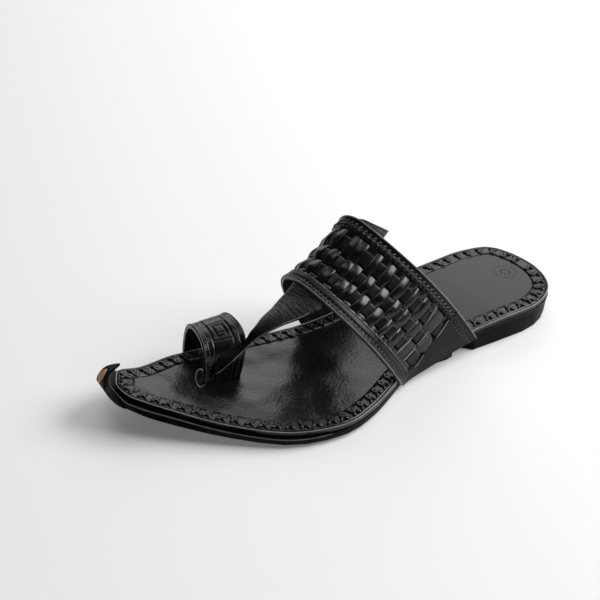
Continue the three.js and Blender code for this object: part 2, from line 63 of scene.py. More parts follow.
# station from heel to toe, outer edge x, inner edge x, and the outsole's ledge past them
SOLE_TABLE = [
    (0.03, 24.9, -30.5, 0.4), (0.1, 37.1, -37.3, 0.4), (0.2, 38.9, -36.3, 0.2), (0.3, 38.7, -34.9, 0),
    (0.4, 41.4, -31.2, 0), (0.47, 44.3, -29.6, 0), (0.52, 51.3, -29.2, 0), (0.58, 59.3, -29.5, 0.2),
    (0.65, 63.9, -32.2, 0.8), (0.75, 56.3, -36.6, 2.8), (0.85, 36.7, -36.5, 3.2), (0.93, 16.1, -29.2, 3.9),
    (0.975, 4.4, -27.3, None), (0.991, -0.8, -19.5, None),
]
INSOLE_TIP_X = -11.5
CURL_START, CURL_RADIUS, CURL_TURN, CURL_LENGTH = -143.0, 3.9, math.radians(178), 16.7
CURL_TIP_X, CURL_TIP_THICK = -21.6, 1.2
# leather past the start of the curled toe, outer edge x, inner edge x
CURL_TABLE = [
    (-7.6, 9.4, -31.5), (-3.1, 5, -29.8), (0, 1.2, -27.8), (1.4, -5, -26.6), (2.6, -11, -26),
    (4, -13.6, -24.8), (7, -15.2, -23.4), (10, -16.8, -22.8), (13, -19.2, -22.6),
]


def smooth(v):
    v = np.clip(v, 0, 1)
    return v * v * (3 - 2 * v)


def bed_height(y):
    """Height of the insole's upper face, which runs down from the heel and lifts at the toe."""
    station = 0.5 - np.asarray(y, float) / FOOT_BED
    lift = np.maximum((station - 0.72) / 0.28, 0)
    slope = smooth((station - 0.18) / 0.37)
    return HEEL_SEAT + (FOREFOOT - HEEL_SEAT) * slope + TOE_SPRING * lift**2


def outsole_height(y):
    return bed_height(y) - INSOLE_THICK - GAP


def spline(points, closed, where):
    """A smooth curve through the points, read at shares of its spans."""
    points = np.array(points, float)
    before = points[-1] if closed else 2 * points[0] - points[1]
    after = points[:2] if closed else 2 * points[-1] - points[-2]
    points = np.vstack([before, points, after])
    spans = len(points) - 3
    out = []
    for share in where:
        at = min(share * spans, spans - 1e-9)
        i = int(at)
        w = at - i
        p0, p1, p2, p3 = points[i : i + 4]
        d0, d1, d2 = (max(np.linalg.norm(b - a), 1e-6) ** 0.5 for a, b in ((p0, p1), (p1, p2), (p2, p3)))
        m1 = d1 * ((p1 - p0) / d0 - (p2 - p0) / (d0 + d1) + (p2 - p1) / d1)
        m2 = d1 * ((p2 - p1) / d1 - (p3 - p1) / (d1 + d2) + (p3 - p2) / d2)
        out.append(p1 + w * m1 + w**2 * (3 * (p2 - p1) - 2 * m1 - m2) + w**3 * (2 * (p1 - p2) + m1 + m2))
    return np.array(out)


def outline(rows, heel_y, tip):
    outer = [(x, y) for y, x, _ in rows]
    inner = [(x, y) for y, _, x in rows][::-1]
    return spline([(0, heel_y), *outer, tip, *inner], True, np.linspace(0, 1, OUTLINE_POINTS, endpoint=False))


def inwards(loop):
    """Directions in plan, square to a closed loop and towards its inside."""
    along = np.roll(loop, -1, axis=0) - np.roll(loop, 1, axis=0)
    along /= np.linalg.norm(along, axis=1)[:, None]
    return np.stack([along[:, 1], -along[:, 0]], 1)


def inset(loop, distance):
    """The loop moved inwards, square to itself."""
    return loop + inwards(loop) * distance


insole_loop = outline([(FOOT_BED * (0.5 - s), a, b) for s, a, b, _ in SOLE_TABLE], FOOT_BED / 2,
                      (INSOLE_TIP_X, -FOOT_BED / 2))
outsole_loop = outline(
    [(FOOT_BED * (0.5 - s), a + e, b - e) for s, a, b, e in SOLE_TABLE if e is not None]
    + [(CURL_START - past, a, b) for past, a, b in CURL_TABLE],
    FOOT_BED / 2 + 0.4, (CURL_TIP_X, CURL_START - CURL_LENGTH))


def edge_x(side, distance, y):
    """x of the insole's edge, moved out by a distance, at places along the foot."""
    loop = inset(insole_loop, -distance)
    tip = int(np.argmin(loop[:, 1]))
    half = loop[: tip + 1][::-1] if side == "outer" else np.vstack([loop[tip:], loop[:1]])
    return np.interp(y, half[:, 1], half[:, 0])


print("insole loop", insole_loop.min(0).round(1), insole_loop.max(0).round(1))

# %% [markdown]
# ## Skins to lay leather on
# The instep band and the toe ring are arches. A *skin* is the outer face of such an arch as a
# grid of points and outward directions. Leather is cut flat, as a saddler does, and then each
# of its points is carried to the skin: one share across the band, one share round the arch,
# and a height above or below the face.

# %% The arch of the band and of the ring
BAND = {
    "front": dict(rise=53.8, sway=0.5, lean=-28.8, outer_y=1.0, inner_y=-16.6, tilt=0.11),
    "rear": dict(rise=73.9, sway=0.3, lean=-42.5, outer_y=60.5, inner_y=33.1, tilt=0.15),
}
BAND_SAG, BAND_WALL, PANEL_WALL = 2.0, 2.6, 1.4
RING = {
    "front": dict(rise=28.2, sway=2.0, lean=2.8, outer_x=-3.6, outer_y=-95.4, inner_y=-91.7, tilt=0),
    "rear": dict(rise=31.5, sway=2.7, lean=8.2, outer_x=-0.7, outer_y=-74.4, inner_y=-75.1, tilt=0),
}
RING_WALL = 2.4


def between(table, share):
    front, rear = table["front"], table["rear"]
    return {k: front[k] + (rear[k] - front[k]) * share for k in front}


def arch_line(outer_foot, inner_foot, arch, spread, squareness):
    turn = np.linspace(0, math.pi, 401)
    cos = np.cos(turn)
    hump = np.maximum(np.sin(turn), 0) ** squareness
    crossing = (1 - np.sign(cos) * np.abs(cos) ** spread) / 2
    line = outer_foot + (inner_foot - outer_foot) * crossing[:, None]
    line[:, 0] += arch["sway"] * hump
    line[:, 1] += arch["lean"] * hump
    line[:, 2] += arch["rise"] * hump * (1 - arch["tilt"] * cos)
    return line


def evenly(line, steps):
    run = np.concatenate([[0], np.cumsum(np.linalg.norm(np.diff(line, axis=0), axis=1))])
    where = np.linspace(0, run[-1], steps + 1)
    return np.stack([np.interp(where, run, line[:, k]) for k in range(3)], 1), run[-1]


def band_line(share):
    arch = between(BAND, share)
    arch["rise"] -= BAND_SAG * 4 * share * (1 - share)
    legs = []
    for side, y in (("outer", arch["outer_y"]), ("inner", arch["inner_y"])):
        top = float(bed_height(y)) + 1
        drop = top - float(outsole_height(y)) + OUTSOLE_THICK
        t = np.linspace(0, 1, 9)
        at = y - arch["lean"] / arch["rise"] * drop * (1 - t)
        low = outsole_height(at) - OUTSOLE_THICK + 0.5
        legs.append(np.stack([edge_x(side, GAP + PANEL_WALL, at), at, low + (top - low) * t], 1))
    crown = arch_line(legs[0][-1], legs[1][-1], arch, 1.15, 0.7)
    return np.vstack([legs[0], crown[1:-1], legs[1][::-1]])


def ring_line(share):
    arch = between(RING, share)
    inner_x = float(edge_x("inner", GAP + RING_WALL, arch["inner_y"]))
    feet = [np.array([x, y, float(bed_height(y)) - INSOLE_THICK])
            for x, y in ((arch["outer_x"], arch["outer_y"]), (inner_x, arch["inner_y"]))]
    return arch_line(feet[0], feet[1], arch, 0.82, 0.56)


def square_to(points):
    """Unit directions square to a grid of points."""
    way = np.cross(np.gradient(points, axis=0), np.gradient(points, axis=1))
    return way / np.linalg.norm(way, axis=2)[..., None]


class Skin:
    """A grid of points, share across by share round, with outward directions and lengths."""

    def __init__(self, points, normals, lengths=None):
        self.points, self.normals, self.lengths = points, normals, lengths

    def read(self, table, share, t):
        rows, columns = table.shape[:2]
        r = np.clip(share, 0, 1) * (rows - 1)
        c = np.clip(t, 0, 1) * (columns - 1)
        r0 = np.minimum(r.astype(int), rows - 2)
        c0 = np.minimum(c.astype(int), columns - 2)
        fr, fc = (r - r0)[..., None], (c - c0)[..., None]
        top = table[r0, c0] * (1 - fc) + table[r0, c0 + 1] * fc
        low = table[r0 + 1, c0] * (1 - fc) + table[r0 + 1, c0 + 1] * fc
        return top * (1 - fr) + low * fr

    def at(self, share, t, height):
        share, t, height = np.broadcast_arrays(*(np.asarray(v, float) for v in (share, t, height)))
        return self.read(self.points, share, t) + self.read(self.normals, share, t) * height[..., None]

    def length(self, share):
        return np.interp(share, np.linspace(0, 1, len(self.lengths)), self.lengths)

    def round_share(self, share, run):
        """Share round the arch of a place that is so many millimetres past the crown's middle."""
        return 0.5 + run / self.length(share)


def arch_skin(lines, steps, middle):
    """The skin of an arch whose lines are cut into equal steps; middle is a place inside it."""
    cut = [evenly(line, steps) for line in lines]
    points = np.array([line for line, _ in cut])
    normals = square_to(points)
    if (normals * (points - np.array(middle))).sum() < 0:
        normals = -normals
    return Skin(points, normals, np.array([length for _, length in cut]))


band = arch_skin([band_line(s) for s in np.linspace(0, 1, 29)], 200, (5, 10, 10))
ring = arch_skin([ring_line(s) for s in np.linspace(0, 1, 15)], 120, (-20, -84, 14))
print("band round", band.lengths[[0, -1]].round(1), "mm, ring round", ring.lengths[[0, -1]].round(1), "mm")


def band_wall(t):
    return PANEL_WALL + (BAND_WALL - PANEL_WALL) * smooth(np.minimum(t, 1 - t) / 0.16)


# %% [markdown]
# ## The bench
# A few helpers do what hands do: clear the bench, cut a flat strap with softened edges, make a
# copy, lay a piece on a skin, and sew copies into one piece. A flat strap is a grid that is
# extruded to its thickness and bevelled. Its UV map keeps the flat lengths, so that grain and
# edge colour can follow the strap wherever it bends.

# %% Helpers for cutting and laying leather
def clear_bench():
    if bpy.context.object and bpy.context.object.mode != "OBJECT":
        bpy.ops.object.mode_set(mode="OBJECT")
    bpy.ops.object.select_all(action="DESELECT")


def pick(piece):
    clear_bench()
    piece.select_set(True)
    bpy.context.view_layer.objects.active = piece


def work_all(tool, **settings):
    """Uses one mesh tool on the whole of the active piece."""
    bpy.ops.object.mode_set(mode="EDIT")
    bpy.ops.mesh.select_all(action="SELECT")
    tool(**settings)
    bpy.ops.object.mode_set(mode="OBJECT")


def pick_edges(piece, wanted):
    """Leaves the piece in edit mode with only the edges selected whose two end points fit."""
    bpy.ops.object.mode_set(mode="EDIT")
    bpy.ops.mesh.select_mode(type="EDGE")
    bpy.ops.mesh.select_all(action="DESELECT")
    bpy.ops.object.mode_set(mode="OBJECT")
    points = points_of(piece)
    for edge in piece.data.edges:
        a, b = (points[i] for i in edge.vertices)
        edge.select = bool(wanted(a, b))
    bpy.ops.object.mode_set(mode="EDIT")


def points_of(piece):
    flat = np.empty(len(piece.data.vertices) * 3)
    piece.data.vertices.foreach_get("co", flat)
    return flat.reshape(-1, 3)


def move_points(piece, points):
    piece.data.vertices.foreach_set("co", np.ascontiguousarray(points, float).ravel())
    piece.data.update()


def lay(piece, place):
    """Carries a flat piece to its place on the last, and from millimetres to the frame."""
    x, y, z = points_of(piece).T
    move_points(piece, (place(x, y, z) + LAST_TO_FRAME) * MILLIMETRE)
    return piece


def keep_flat_lengths(piece, width):
    """A UV map of the flat cut: along in centimetres, across from -1 to 1."""
    flat = points_of(piece)
    layer = piece.data.uv_layers.active or piece.data.uv_layers.new()
    layer.name = "flat"
    corners = np.empty(len(piece.data.loops), int)
    piece.data.loops.foreach_get("vertex_index", corners)
    uv = np.stack([flat[corners, 0] / 10, flat[corners, 1] / (width / 2)], 1)
    layer.data.foreach_set("uv", uv.ravel())


def cut_flat(name, length, width, thick, steps, ribs, rounding=0.25):
    """A flat strap: x along from 0, y across about 0, face at z 0 and back at -thick."""
    clear_bench()
    bpy.ops.mesh.primitive_grid_add(x_subdivisions=steps, y_subdivisions=ribs, size=1)
    piece = bpy.context.object
    piece.name = name
    bpy.ops.object.mode_set(mode="EDIT")
    bpy.ops.mesh.select_all(action="SELECT")
    bpy.ops.transform.resize(value=(length, width, 1), center_override=(0, 0, 0))
    bpy.ops.transform.translate(value=(length / 2, 0, 0))
    bpy.ops.mesh.extrude_region_move(TRANSFORM_OT_translate={"value": (0, 0, -thick)})
    bpy.ops.mesh.select_all(action="SELECT")
    bpy.ops.mesh.normals_make_consistent(inside=False)
    bpy.ops.object.mode_set(mode="OBJECT")
    face = points_of(piece)[:, 2].max()
    if rounding:
        pick_edges(piece, lambda a, b: min(a[2], b[2]) > face - 1e-3 and abs(a[1] - b[1]) < 1e-3
                   and abs(abs(a[1]) - width / 2) < 1e-3)
        bpy.ops.mesh.bevel(offset=rounding, segments=2, affect="EDGES")
    bpy.ops.object.mode_set(mode="OBJECT")
    move_points(piece, points_of(piece) - np.array([0, 0, face]))
    keep_flat_lengths(piece, width)
    bpy.ops.object.shade_smooth_by_angle(angle=math.radians(40))
    return piece


def copy_piece(piece, name):
    twin = piece.copy()
    twin.data = piece.data.copy()
    twin.name = name
    bpy.context.scene.collection.objects.link(twin)
    return twin


def sew(name, pieces):
    """Joins copies into one piece."""
    clear_bench()
    for piece in pieces:
        piece.select_set(True)
    bpy.context.view_layer.objects.active = pieces[0]
    if len(pieces) > 1:
        bpy.ops.object.join()
    joined = bpy.context.object
    joined.name = name
    return joined


def scrap(piece):
    bpy.data.objects.remove(piece, do_unlink=True)


print("bench ready")

# %% [markdown]
# ## Leather, in nodes
# Dyed leather is nearly black, so what the eye sees is its gloss: a smooth finish over small
# pebbles and pores, a little uneven, and paler along cut edges, partly from wear and, on the
# woven strips, partly as a painted highlight on the edge that faces the light. Two node groups
# hold the shared parts: the grain as a height and a tone, and a mask for cut edges from the UV map.
# Image maps could do it too, but nodes stay sharp and follow the real millimetres.

# %% Grain and edge groups
def group(name, inputs, outputs):
    tree = bpy.data.node_groups.new(name, "ShaderNodeTree")
    for label, kind in inputs:
        tree.interface.new_socket(label, in_out="INPUT", socket_type=kind)
    for label, kind in outputs:
        tree.interface.new_socket(label, in_out="OUTPUT", socket_type=kind)
    return tree, tree.nodes.new("NodeGroupInput"), tree.nodes.new("NodeGroupOutput")


def node(tree, kind, settings=None, **inputs):
    made = tree.nodes.new(kind)
    for key, value in (settings or {}).items():
        setattr(made, key, value)
    for key, value in inputs.items():
        socket = made.inputs[int(key[1:])] if key[0] == "i" and key[1:].isdigit() else made.inputs[key]
        if isinstance(value, bpy.types.NodeSocket):
            tree.links.new(value, socket)
        else:
            socket.default_value = value
    return made


def math_node(tree, operation, a, b=0.0, c=0.0):
    return node(tree, "ShaderNodeMath", {"operation": operation}, i0=a, i1=b, i2=c).outputs[0]


def first(tree, kind):
    """The first node of a kind in a material."""
    return next(n for n in tree.nodes if n.bl_idname == kind)


def ramp(tree, value, low, high, to_low=0.0, to_high=1.0):
    made = node(tree, "ShaderNodeMapRange", {"interpolation_type": "SMOOTHSTEP"}, Value=value)
    for key, number in (("From Min", low), ("From Max", high), ("To Min", to_low), ("To Max", to_high)):
        made.inputs[key].default_value = number
    return made.outputs["Result"]


grain_group, came, gone = group(
    "leather grain", [("Place", "NodeSocketVector"), ("Pebble", "NodeSocketFloat")],
    [("Height", "NodeSocketFloat"), ("Tone", "NodeSocketFloat")])
cells = node(grain_group, "ShaderNodeTexVoronoi", {"feature": "SMOOTH_F1"}, Vector=came.outputs["Place"],
             Scale=came.outputs["Pebble"])
pores = node(grain_group, "ShaderNodeTexNoise", Vector=came.outputs["Place"], Scale=2600.0, Detail=3.0)
folds = node(grain_group, "ShaderNodeTexNoise", Vector=came.outputs["Place"], Scale=170.0, Detail=4.0)
pebbles = math_node(grain_group, "MULTIPLY_ADD", cells.outputs["Distance"], -0.7, 0.75)
height = math_node(grain_group, "MULTIPLY_ADD", pores.outputs["Fac"], 0.25, pebbles)
grain_group.links.new(math_node(grain_group, "MULTIPLY_ADD", folds.outputs["Fac"], 0.5, height),
                      gone.inputs["Height"])
grain_group.links.new(ramp(grain_group, folds.outputs["Fac"], 0.35, 0.68), gone.inputs["Tone"])

edge_group, came, gone = group(
    "cut edge", [("Flat", "NodeSocketVector"), ("Start", "NodeSocketFloat")],
    [("Rear", "NodeSocketFloat"), ("Both", "NodeSocketFloat")])
across = node(edge_group, "ShaderNodeSeparateXYZ", Vector=came.outputs["Flat"]).outputs["Y"]
fray = node(edge_group, "ShaderNodeTexNoise", Vector=came.outputs["Flat"], Scale=6.0)
start = math_node(edge_group, "MULTIPLY_ADD", fray.outputs["Fac"], 0.12, came.outputs["Start"])
for label, place in (("Rear", across), ("Both", math_node(edge_group, "ABSOLUTE", across))):
    past_start = math_node(edge_group, "SUBTRACT", place, start)
    steep = math_node(edge_group, "MULTIPLY_ADD", past_start, 14.0)
    clamped = node(edge_group, "ShaderNodeClamp", Value=steep)
    edge_group.links.new(clamped.outputs[0], gone.inputs[label])
print("node groups:", [g.name for g in bpy.data.node_groups])


# %% Leather material
def leather(name, dark, light, rough, pebble=700.0, bump=0.00008, edge_wear_and_highlight=None, edge="Rear", start=0.8,
            creases=None, specular=0.5):
    """Dyed leather. The edge colour pales the cut edge on the side or sides named by edge: wear, and on the
    woven strips also a painted highlight where that edge faces the light; creases are (scale, depth) on the
    flat cut.
    """
    made = bpy.data.materials.new(name)
    made.use_nodes = True
    tree = made.node_tree
    skin = first(tree, "ShaderNodeBsdfPrincipled")
    skin.inputs["Specular IOR Level"].default_value = specular
    place = node(tree, "ShaderNodeTexCoord")
    grain = node(tree, "ShaderNodeGroup", {"node_tree": grain_group}, Place=place.outputs["Object"],
                 Pebble=pebble)
    dye = node(tree, "ShaderNodeMix", {"data_type": "RGBA"}, Factor=grain.outputs["Tone"])
    dye.inputs[6].default_value = (*dark, 1)
    dye.inputs[7].default_value = (*light, 1)
    colour = dye.outputs[2]
    # paler cut edges: wear, and on the woven strips also a painted highlight on the edge that faces the light
    if edge_wear_and_highlight:
        edges = node(tree, "ShaderNodeGroup", {"node_tree": edge_group}, Flat=place.outputs["UV"],
                     Start=start)
        edge_wear_and_highlight_mix = node(tree, "ShaderNodeMix", {"data_type": "RGBA"}, Factor=edges.outputs[edge])
        tree.links.new(colour, edge_wear_and_highlight_mix.inputs[6])
        edge_wear_and_highlight_mix.inputs[7].default_value = (*edge_wear_and_highlight, 1)
        colour = edge_wear_and_highlight_mix.outputs[2]
    tree.links.new(colour, skin.inputs["Base Color"])
    tree.links.new(ramp(tree, grain.outputs["Tone"], 0.0, 1.0, *rough), skin.inputs["Roughness"])
    relief = grain.outputs["Height"]
    if creases:
        scale, depth = creases
        stretch = node(tree, "ShaderNodeMapping", Vector=place.outputs["UV"])
        stretch.inputs["Scale"].default_value = scale
        lines = node(tree, "ShaderNodeTexNoise", Vector=stretch.outputs[0], Scale=1.0, Detail=5.0,
                     Roughness=0.6)
        relief = math_node(tree, "MULTIPLY_ADD", lines.outputs["Fac"], depth, relief)
    raised = node(tree, "ShaderNodeBump", Height=relief, Strength=0.7, Distance=bump)
    tree.links.new(raised.outputs["Normal"], skin.inputs["Normal"])
    return made


BLACK, SOFT_BLACK, DEEP_BLACK = (0.002, 0.0022, 0.0024), (0.005, 0.0055, 0.006), (0.004, 0.0044, 0.0048)
# the paler rim along one long edge of each lengthwise strip is partly a raw cut edge and partly a painted
# highlight where the bevel faces the light
strip_leather = leather("woven strip leather", BLACK, SOFT_BLACK, (0.24, 0.32), edge_wear_and_highlight=(0.16, 0.165, 0.17),
                        start=0.84, creases=((3, 0.4, 1), 0.8))
# pale cords on cut edges; on the link strap the same pale cord is a painted highlight along its lower edge
edge_leather = leather("burnished edge and highlight leather", (0.16, 0.165, 0.17), (0.24, 0.245, 0.25), (0.4, 0.55))
dim_edge_leather = leather("dull edge leather", (0.05, 0.052, 0.055), (0.1, 0.104, 0.108), (0.4, 0.55))
binding_leather = leather("binding leather", BLACK, SOFT_BLACK, (0.3, 0.4), creases=((9, 0.7, 1), 1.6),
                          bump=0.00016, specular=0.26, edge_wear_and_highlight=(0.03, 0.032, 0.034), start=0.66)
panel_leather = leather("side panel leather", BLACK, DEEP_BLACK, (0.3, 0.4), specular=0.16)
link_leather = leather("link strap leather", BLACK, (0.007, 0.0075, 0.008), (0.28, 0.36),
                       creases=((6, 0.5, 1), 7.0), bump=0.0002)
ring_leather = leather("toe ring leather", BLACK, DEEP_BLACK, (0.22, 0.32), creases=((0.8, 3, 1), 0.8),
                       specular=0.42, bump=0.00012)
# the end of the link strap that lies on the ring is pressed flat and stays dull
tree = link_leather.node_tree
flat_place = first(tree, "ShaderNodeTexCoord").outputs["UV"]
along = node(tree, "ShaderNodeSeparateXYZ", Vector=flat_place).outputs["X"]
tree.links.new(ramp(tree, along, 4.2, 7.0, 0.08, 0.85),
               first(tree, "ShaderNodeBsdfPrincipled").inputs["Specular IOR Level"])
thong_leather = leather("lacing thong leather", (0.003, 0.003, 0.0035), (0.007, 0.007, 0.008), (0.32, 0.42))
lining_leather = leather("lining leather", (0.004, 0.004, 0.004), (0.008, 0.008, 0.008), (0.7, 0.85),
                         specular=0.2)
thread = leather("waxed thread", (0.09, 0.09, 0.095), (0.15, 0.15, 0.16), (0.45, 0.6))
# the paler rim along the rear edge of each cross strip is partly a raw cut edge and partly a painted
# highlight where the bevel faces the light behind the heel
cross_leather = leather("cross strip leather", BLACK, DEEP_BLACK, (0.26, 0.36), edge_wear_and_highlight=(0.2, 0.205, 0.21),
                        start=0.86, creases=((3, 0.4, 1), 0.8), specular=0.28)
print("leathers:", [m.name for m in bpy.data.materials if "leather" in m.name])

# %% [markdown]
# ## Lining and side panels
# Inside the weave is a thin lining, which closes the little gaps and carries the foot. At each
# end of the band a plain panel runs down to the sole. Both are flat grids laid on the band's
# skin. The panel ends at a slanted border, so its width is scaled by a short table.

# %% Lining
PANEL_BORDER = np.array([(0.0, 0.028), (0.2, 0.046), (0.38, 0.069), (0.6, 0.099), (0.85, 0.13),
                         (1.0, 0.142)])
WEAVE_FRONT, WEAVE_REAR = 0.142, 0.868


def panel_border(share):
    return np.interp(share, PANEL_BORDER[:, 0], PANEL_BORDER[:, 1])


lining = cut_flat("band_lining", 1, 1, 1, 40, 120, rounding=0)


def lay_lining(x, y, z):
    t = np.clip(y + 0.5, 0.002, 0.998)
    inner = -band_wall(t) + 0.02
    thin = np.minimum(0.55, band_wall(t) * 0.35)
    return band.at(0.01 + 0.98 * x, t, inner + (z + 1) * thin)


lay(lining, lay_lining)


def make_panel(name, inner_side):
    panel = cut_flat(name, 1, 1, 1, 44, 26, rounding=0)

    def place(x, y, z):
        share = 0.02 + 0.96 * x
        reach = (y + 0.5) * (panel_border(share) + 0.006)
        t = 1 - reach if inner_side else reach
        tuck = -0.9 * smooth((y + 0.5 - 0.93) / 0.07)
        back = -band_wall(t) + 0.5 * np.minimum(0.55, band_wall(t) * 0.35)
        return band.at(share, t, np.where(z > -0.5, tuck - 0.05, back))

    return lay(panel, place)


panels = [make_panel("side_panel_outer", False), make_panel("side_panel_inner", True)]
print("lining and panels:", [len(p.data.polygons) for p in (lining, *panels)], "faces")

# %% [markdown]
# ## The weave
# Three strips run round the foot and twenty-nine shorter ones run along it, over one and
# under the next. A texture could fake it, but each strip rises, crests and dives, and that is
# what catches the light. So one strip is cut flat and copied, and every copy gets its own
# heights from a small chart that says where it passes on top.

# %% The chart of the weave
STRIP_THICK, STRIP_GAP = 0.9, 0.25
STRIP_LONG, CROSS_LONG = 60, 200  # as cut, before they are laid
# borders between the lengthwise strips, in millimetres round the arch from its middle; the
# strips beside a panel are cut wider
STRIP_BORDERS = [-83.8, -75.5, -67.3, -61.3, -55.8, -50.8, -47.3, -42.4, -36.8, -31.3, -26, -21, -16.4,
                 -10.8, -5.6, -0.3, 5.4, 10.7, 16, 21.2, 26.4, 31.7, 37, 42.4, 47.6, 53, 59, 65.5, 72, 79]
CROSS_ROWS = [(0.217, 0.366), (0.42, 0.558), (0.626, 0.782)]
CREST, VALLEY = 0.38, -1.8
# towards the panels the crests are pressed lower: by how much, from where, and over what run
FLATTER, FLATTER_FROM, FLATTER_OVER = 0.55, 45, 20
# how a strip climbs and dives over one crossing: share of the visible run, height
HUMP = np.array([(0, -1.8), (0.06, -1.3), (0.15, -0.7), (0.25, -0.15), (0.35, 0.22), (0.45, 0.38),
                 (0.53, 0.35), (0.6, 0.23), (0.68, 0.01), (0.76, -0.28), (0.84, -0.66), (0.91, -1.05),
                 (0.96, -1.4), (1, -1.9)])
# two strips where the hand-made pattern slips, by the cross strips that they pass over
SLIPS = {12: (True, True, False), 13: (False, True, True)}


def above_lining(share, t, face, below):
    """Heights of a strip's face and back, kept clear of the lining where the band gets thin."""
    back = np.maximum(face - STRIP_THICK, -band_wall(t) + 0.45)
    return np.where(below > -0.5, np.maximum(face + below, back + 0.15), back)


def passes_over(column):
    """Which of the three cross strips this lengthwise strip passes over."""
    if column in SLIPS:
        return SLIPS[column]
    past_slip = column > max(SLIPS)
    return (True, False, True) if (column + past_slip) % 2 else (False, True, False)


def strip_heights(column):
    """Height of a lengthwise strip's face at places across the band, as a table."""
    over = passes_over(column)
    table = [(0.08, -1.0), (WEAVE_FRONT, -0.75)]
    for row, (low, high) in enumerate(CROSS_ROWS):
        before = CROSS_ROWS[row - 1][1] if row else WEAVE_FRONT
        after = CROSS_ROWS[row + 1][0] if row < 2 else WEAVE_REAR + 0.01
        if over[row]:
            start = before + 0.004 if row == 0 or not over[row - 1] else (before + low) / 2
            end = after - 0.004 if row == 2 or not over[row + 1] else (high + after) / 2
            first = -0.8 if row == 0 else -1.5
            table += [(start + (end - start) * x, first if x == 0 else h) for x, h in HUMP]
        else:
            dive = -0.62 if row == 0 else -1.2
            table += [(low - 0.022, dive), (low - 0.002, VALLEY), (high + 0.002, VALLEY)]
            if row == 2:
                table += [(high + 0.03, -1.1), (WEAVE_REAR, -0.85)]
    table += [(0.93, -1.2)]
    return np.array(sorted(table))


COLUMNS = range(len(STRIP_BORDERS) - 1)
print("columns", len(COLUMNS), "chart", ["".join("VH"[not o] for o in passes_over(c)) for c in COLUMNS])

# %% Lengthwise strips
long_strip = cut_flat("long_strip", STRIP_LONG, 2, STRIP_THICK, 84, 6, rounding=0.14)
draws = random.Random(7)
long_strips = []
for column in COLUMNS:
    table = strip_heights(column)
    strip = copy_piece(long_strip, f"long_strip_{column}")
    drift, twist, rise = draws.uniform(-0.1, 0.1), draws.uniform(-0.08, 0.08), draws.uniform(-0.1, 0.1)
    low_run, high_run = STRIP_BORDERS[column], STRIP_BORDERS[column + 1]
    run, half = (low_run + high_run) / 2, (high_run - low_run - STRIP_GAP) / 2
    # near a panel the strip ends where the slanted border cuts it
    shares = np.linspace(0.09, 0.925, 200)
    reach = 0.5 + run / band.length(shares)
    free = shares[np.minimum(reach, 1 - reach) > panel_border(shares) - 0.004]

    def place(x, y, z):
        share = free[0] + x / STRIP_LONG * (free[-1] - free[0])
        bulge = np.interp(share, table[:, 0], table[:, 1])
        bulge = np.minimum(bulge, CREST - FLATTER * smooth((abs(run) - FLATTER_FROM) / FLATTER_OVER))
        crown = -0.22 * y**2 - 0.12 * y**6 + twist * y
        on_top = smooth((bulge - VALLEY) / (CREST - VALLEY))
        t = band.round_share(share, run + drift + y * half * (0.95 + 0.12 * on_top))
        return band.at(share, t, above_lining(share, t, bulge + rise * on_top + crown, z))

    long_strips.append(lay(strip, place))
scrap(long_strip)
long_weave = sew("weave_long_strips", long_strips)
print("lengthwise strips:", len(long_strips), "faces", len(long_weave.data.polygons))

# %% Cross strips
cross_strip = cut_flat("cross_strip", CROSS_LONG, 2, STRIP_THICK, 330, 6, rounding=0.1)
cross_strips = []
for row, (low, high) in enumerate(CROSS_ROWS):
    strip = copy_piece(cross_strip, f"cross_strip_{row}")
    middle, half = (low + high) / 2, (high - low) / 2
    border = float(panel_border(middle))
    knots = []
    for column in COLUMNS:
        height_here = VALLEY - 0.1 if passes_over(column)[row] else -0.5
        knots += [(STRIP_BORDERS[column] + 0.5, height_here), (STRIP_BORDERS[column + 1] - 0.5, height_here)]
    knots = np.array(knots)

    def place(x, y, z):
        t = border - 0.004 + x / CROSS_LONG * (1 - 2 * border + 0.008)
        share = middle + y * half
        run = (t - 0.5) * band.length(share)
        ends = smooth((np.minimum(t, 1 - t) - border) / 0.012)
        height = np.interp(run, knots[:, 0], knots[:, 1]) * ends - 0.3 * (1 - ends)
        return band.at(share, t, above_lining(share, t, height - 0.18 * y**2, z))

    cross_strips.append(lay(strip, place))
scrap(cross_strip)
cross_weave = sew("weave_cross_strips", cross_strips)
print("cross strips: faces", len(cross_weave.data.polygons))

# %% [markdown]
# ## Bindings
# Both edges of the band are folded over and sewn. Seen from the edge inwards, the front one
# is a puckered roll, a row of stitches in a groove, and a smooth roll; the rear one is a roll,
# slanting stitches, a flat and a thin rim. Each is one strap whose cross section is a small
# table of heights, and the puckers are seeded noise along it.

# %% Rolls of the two edges
FRONT_ROLL = np.array([(0, -1.5), (0.03, -0.6), (0.09, -0.08), (0.2, 0.04), (0.33, -0.12), (0.385, -0.6),
                       (0.44, -1.0), (0.49, -0.6), (0.56, -0.3), (0.7, -0.2), (0.85, -0.3), (0.91, -0.55),
                       (0.955, -0.5), (0.985, -0.6), (1, -1.2)])
REAR_ROLL = np.array([(0, -1.3), (0.04, -0.45), (0.12, 0.0), (0.24, 0.12), (0.36, -0.08), (0.43, -0.65),
                      (0.5, -0.85), (0.62, -0.85), (0.68, -0.5), (0.9, -0.45), (0.95, -0.22),
                      (0.985, -0.4), (1, -1.2)])
# shares across the band that each binding covers, and the pitch of its stitches
FRONT_BINDING, REAR_BINDING = (0.0, 0.146), (0.866, 1.0)
FRONT_PITCH, REAR_PITCH = 2.8, 3.4
BINDING_LONG = 200
random.seed(11)
PUCKER = np.array([random.uniform(-1, 1) for _ in range(400)])


def pucker(run, across):
    """Small seeded folds, slanting over a roll, about one every 1.3 mm."""
    at = (run + 0.5 * across) / 0.65 % 399
    i = at.astype(int)
    return PUCKER[i] * (1 - (at - i)) + PUCKER[i + 1] * (at - i)


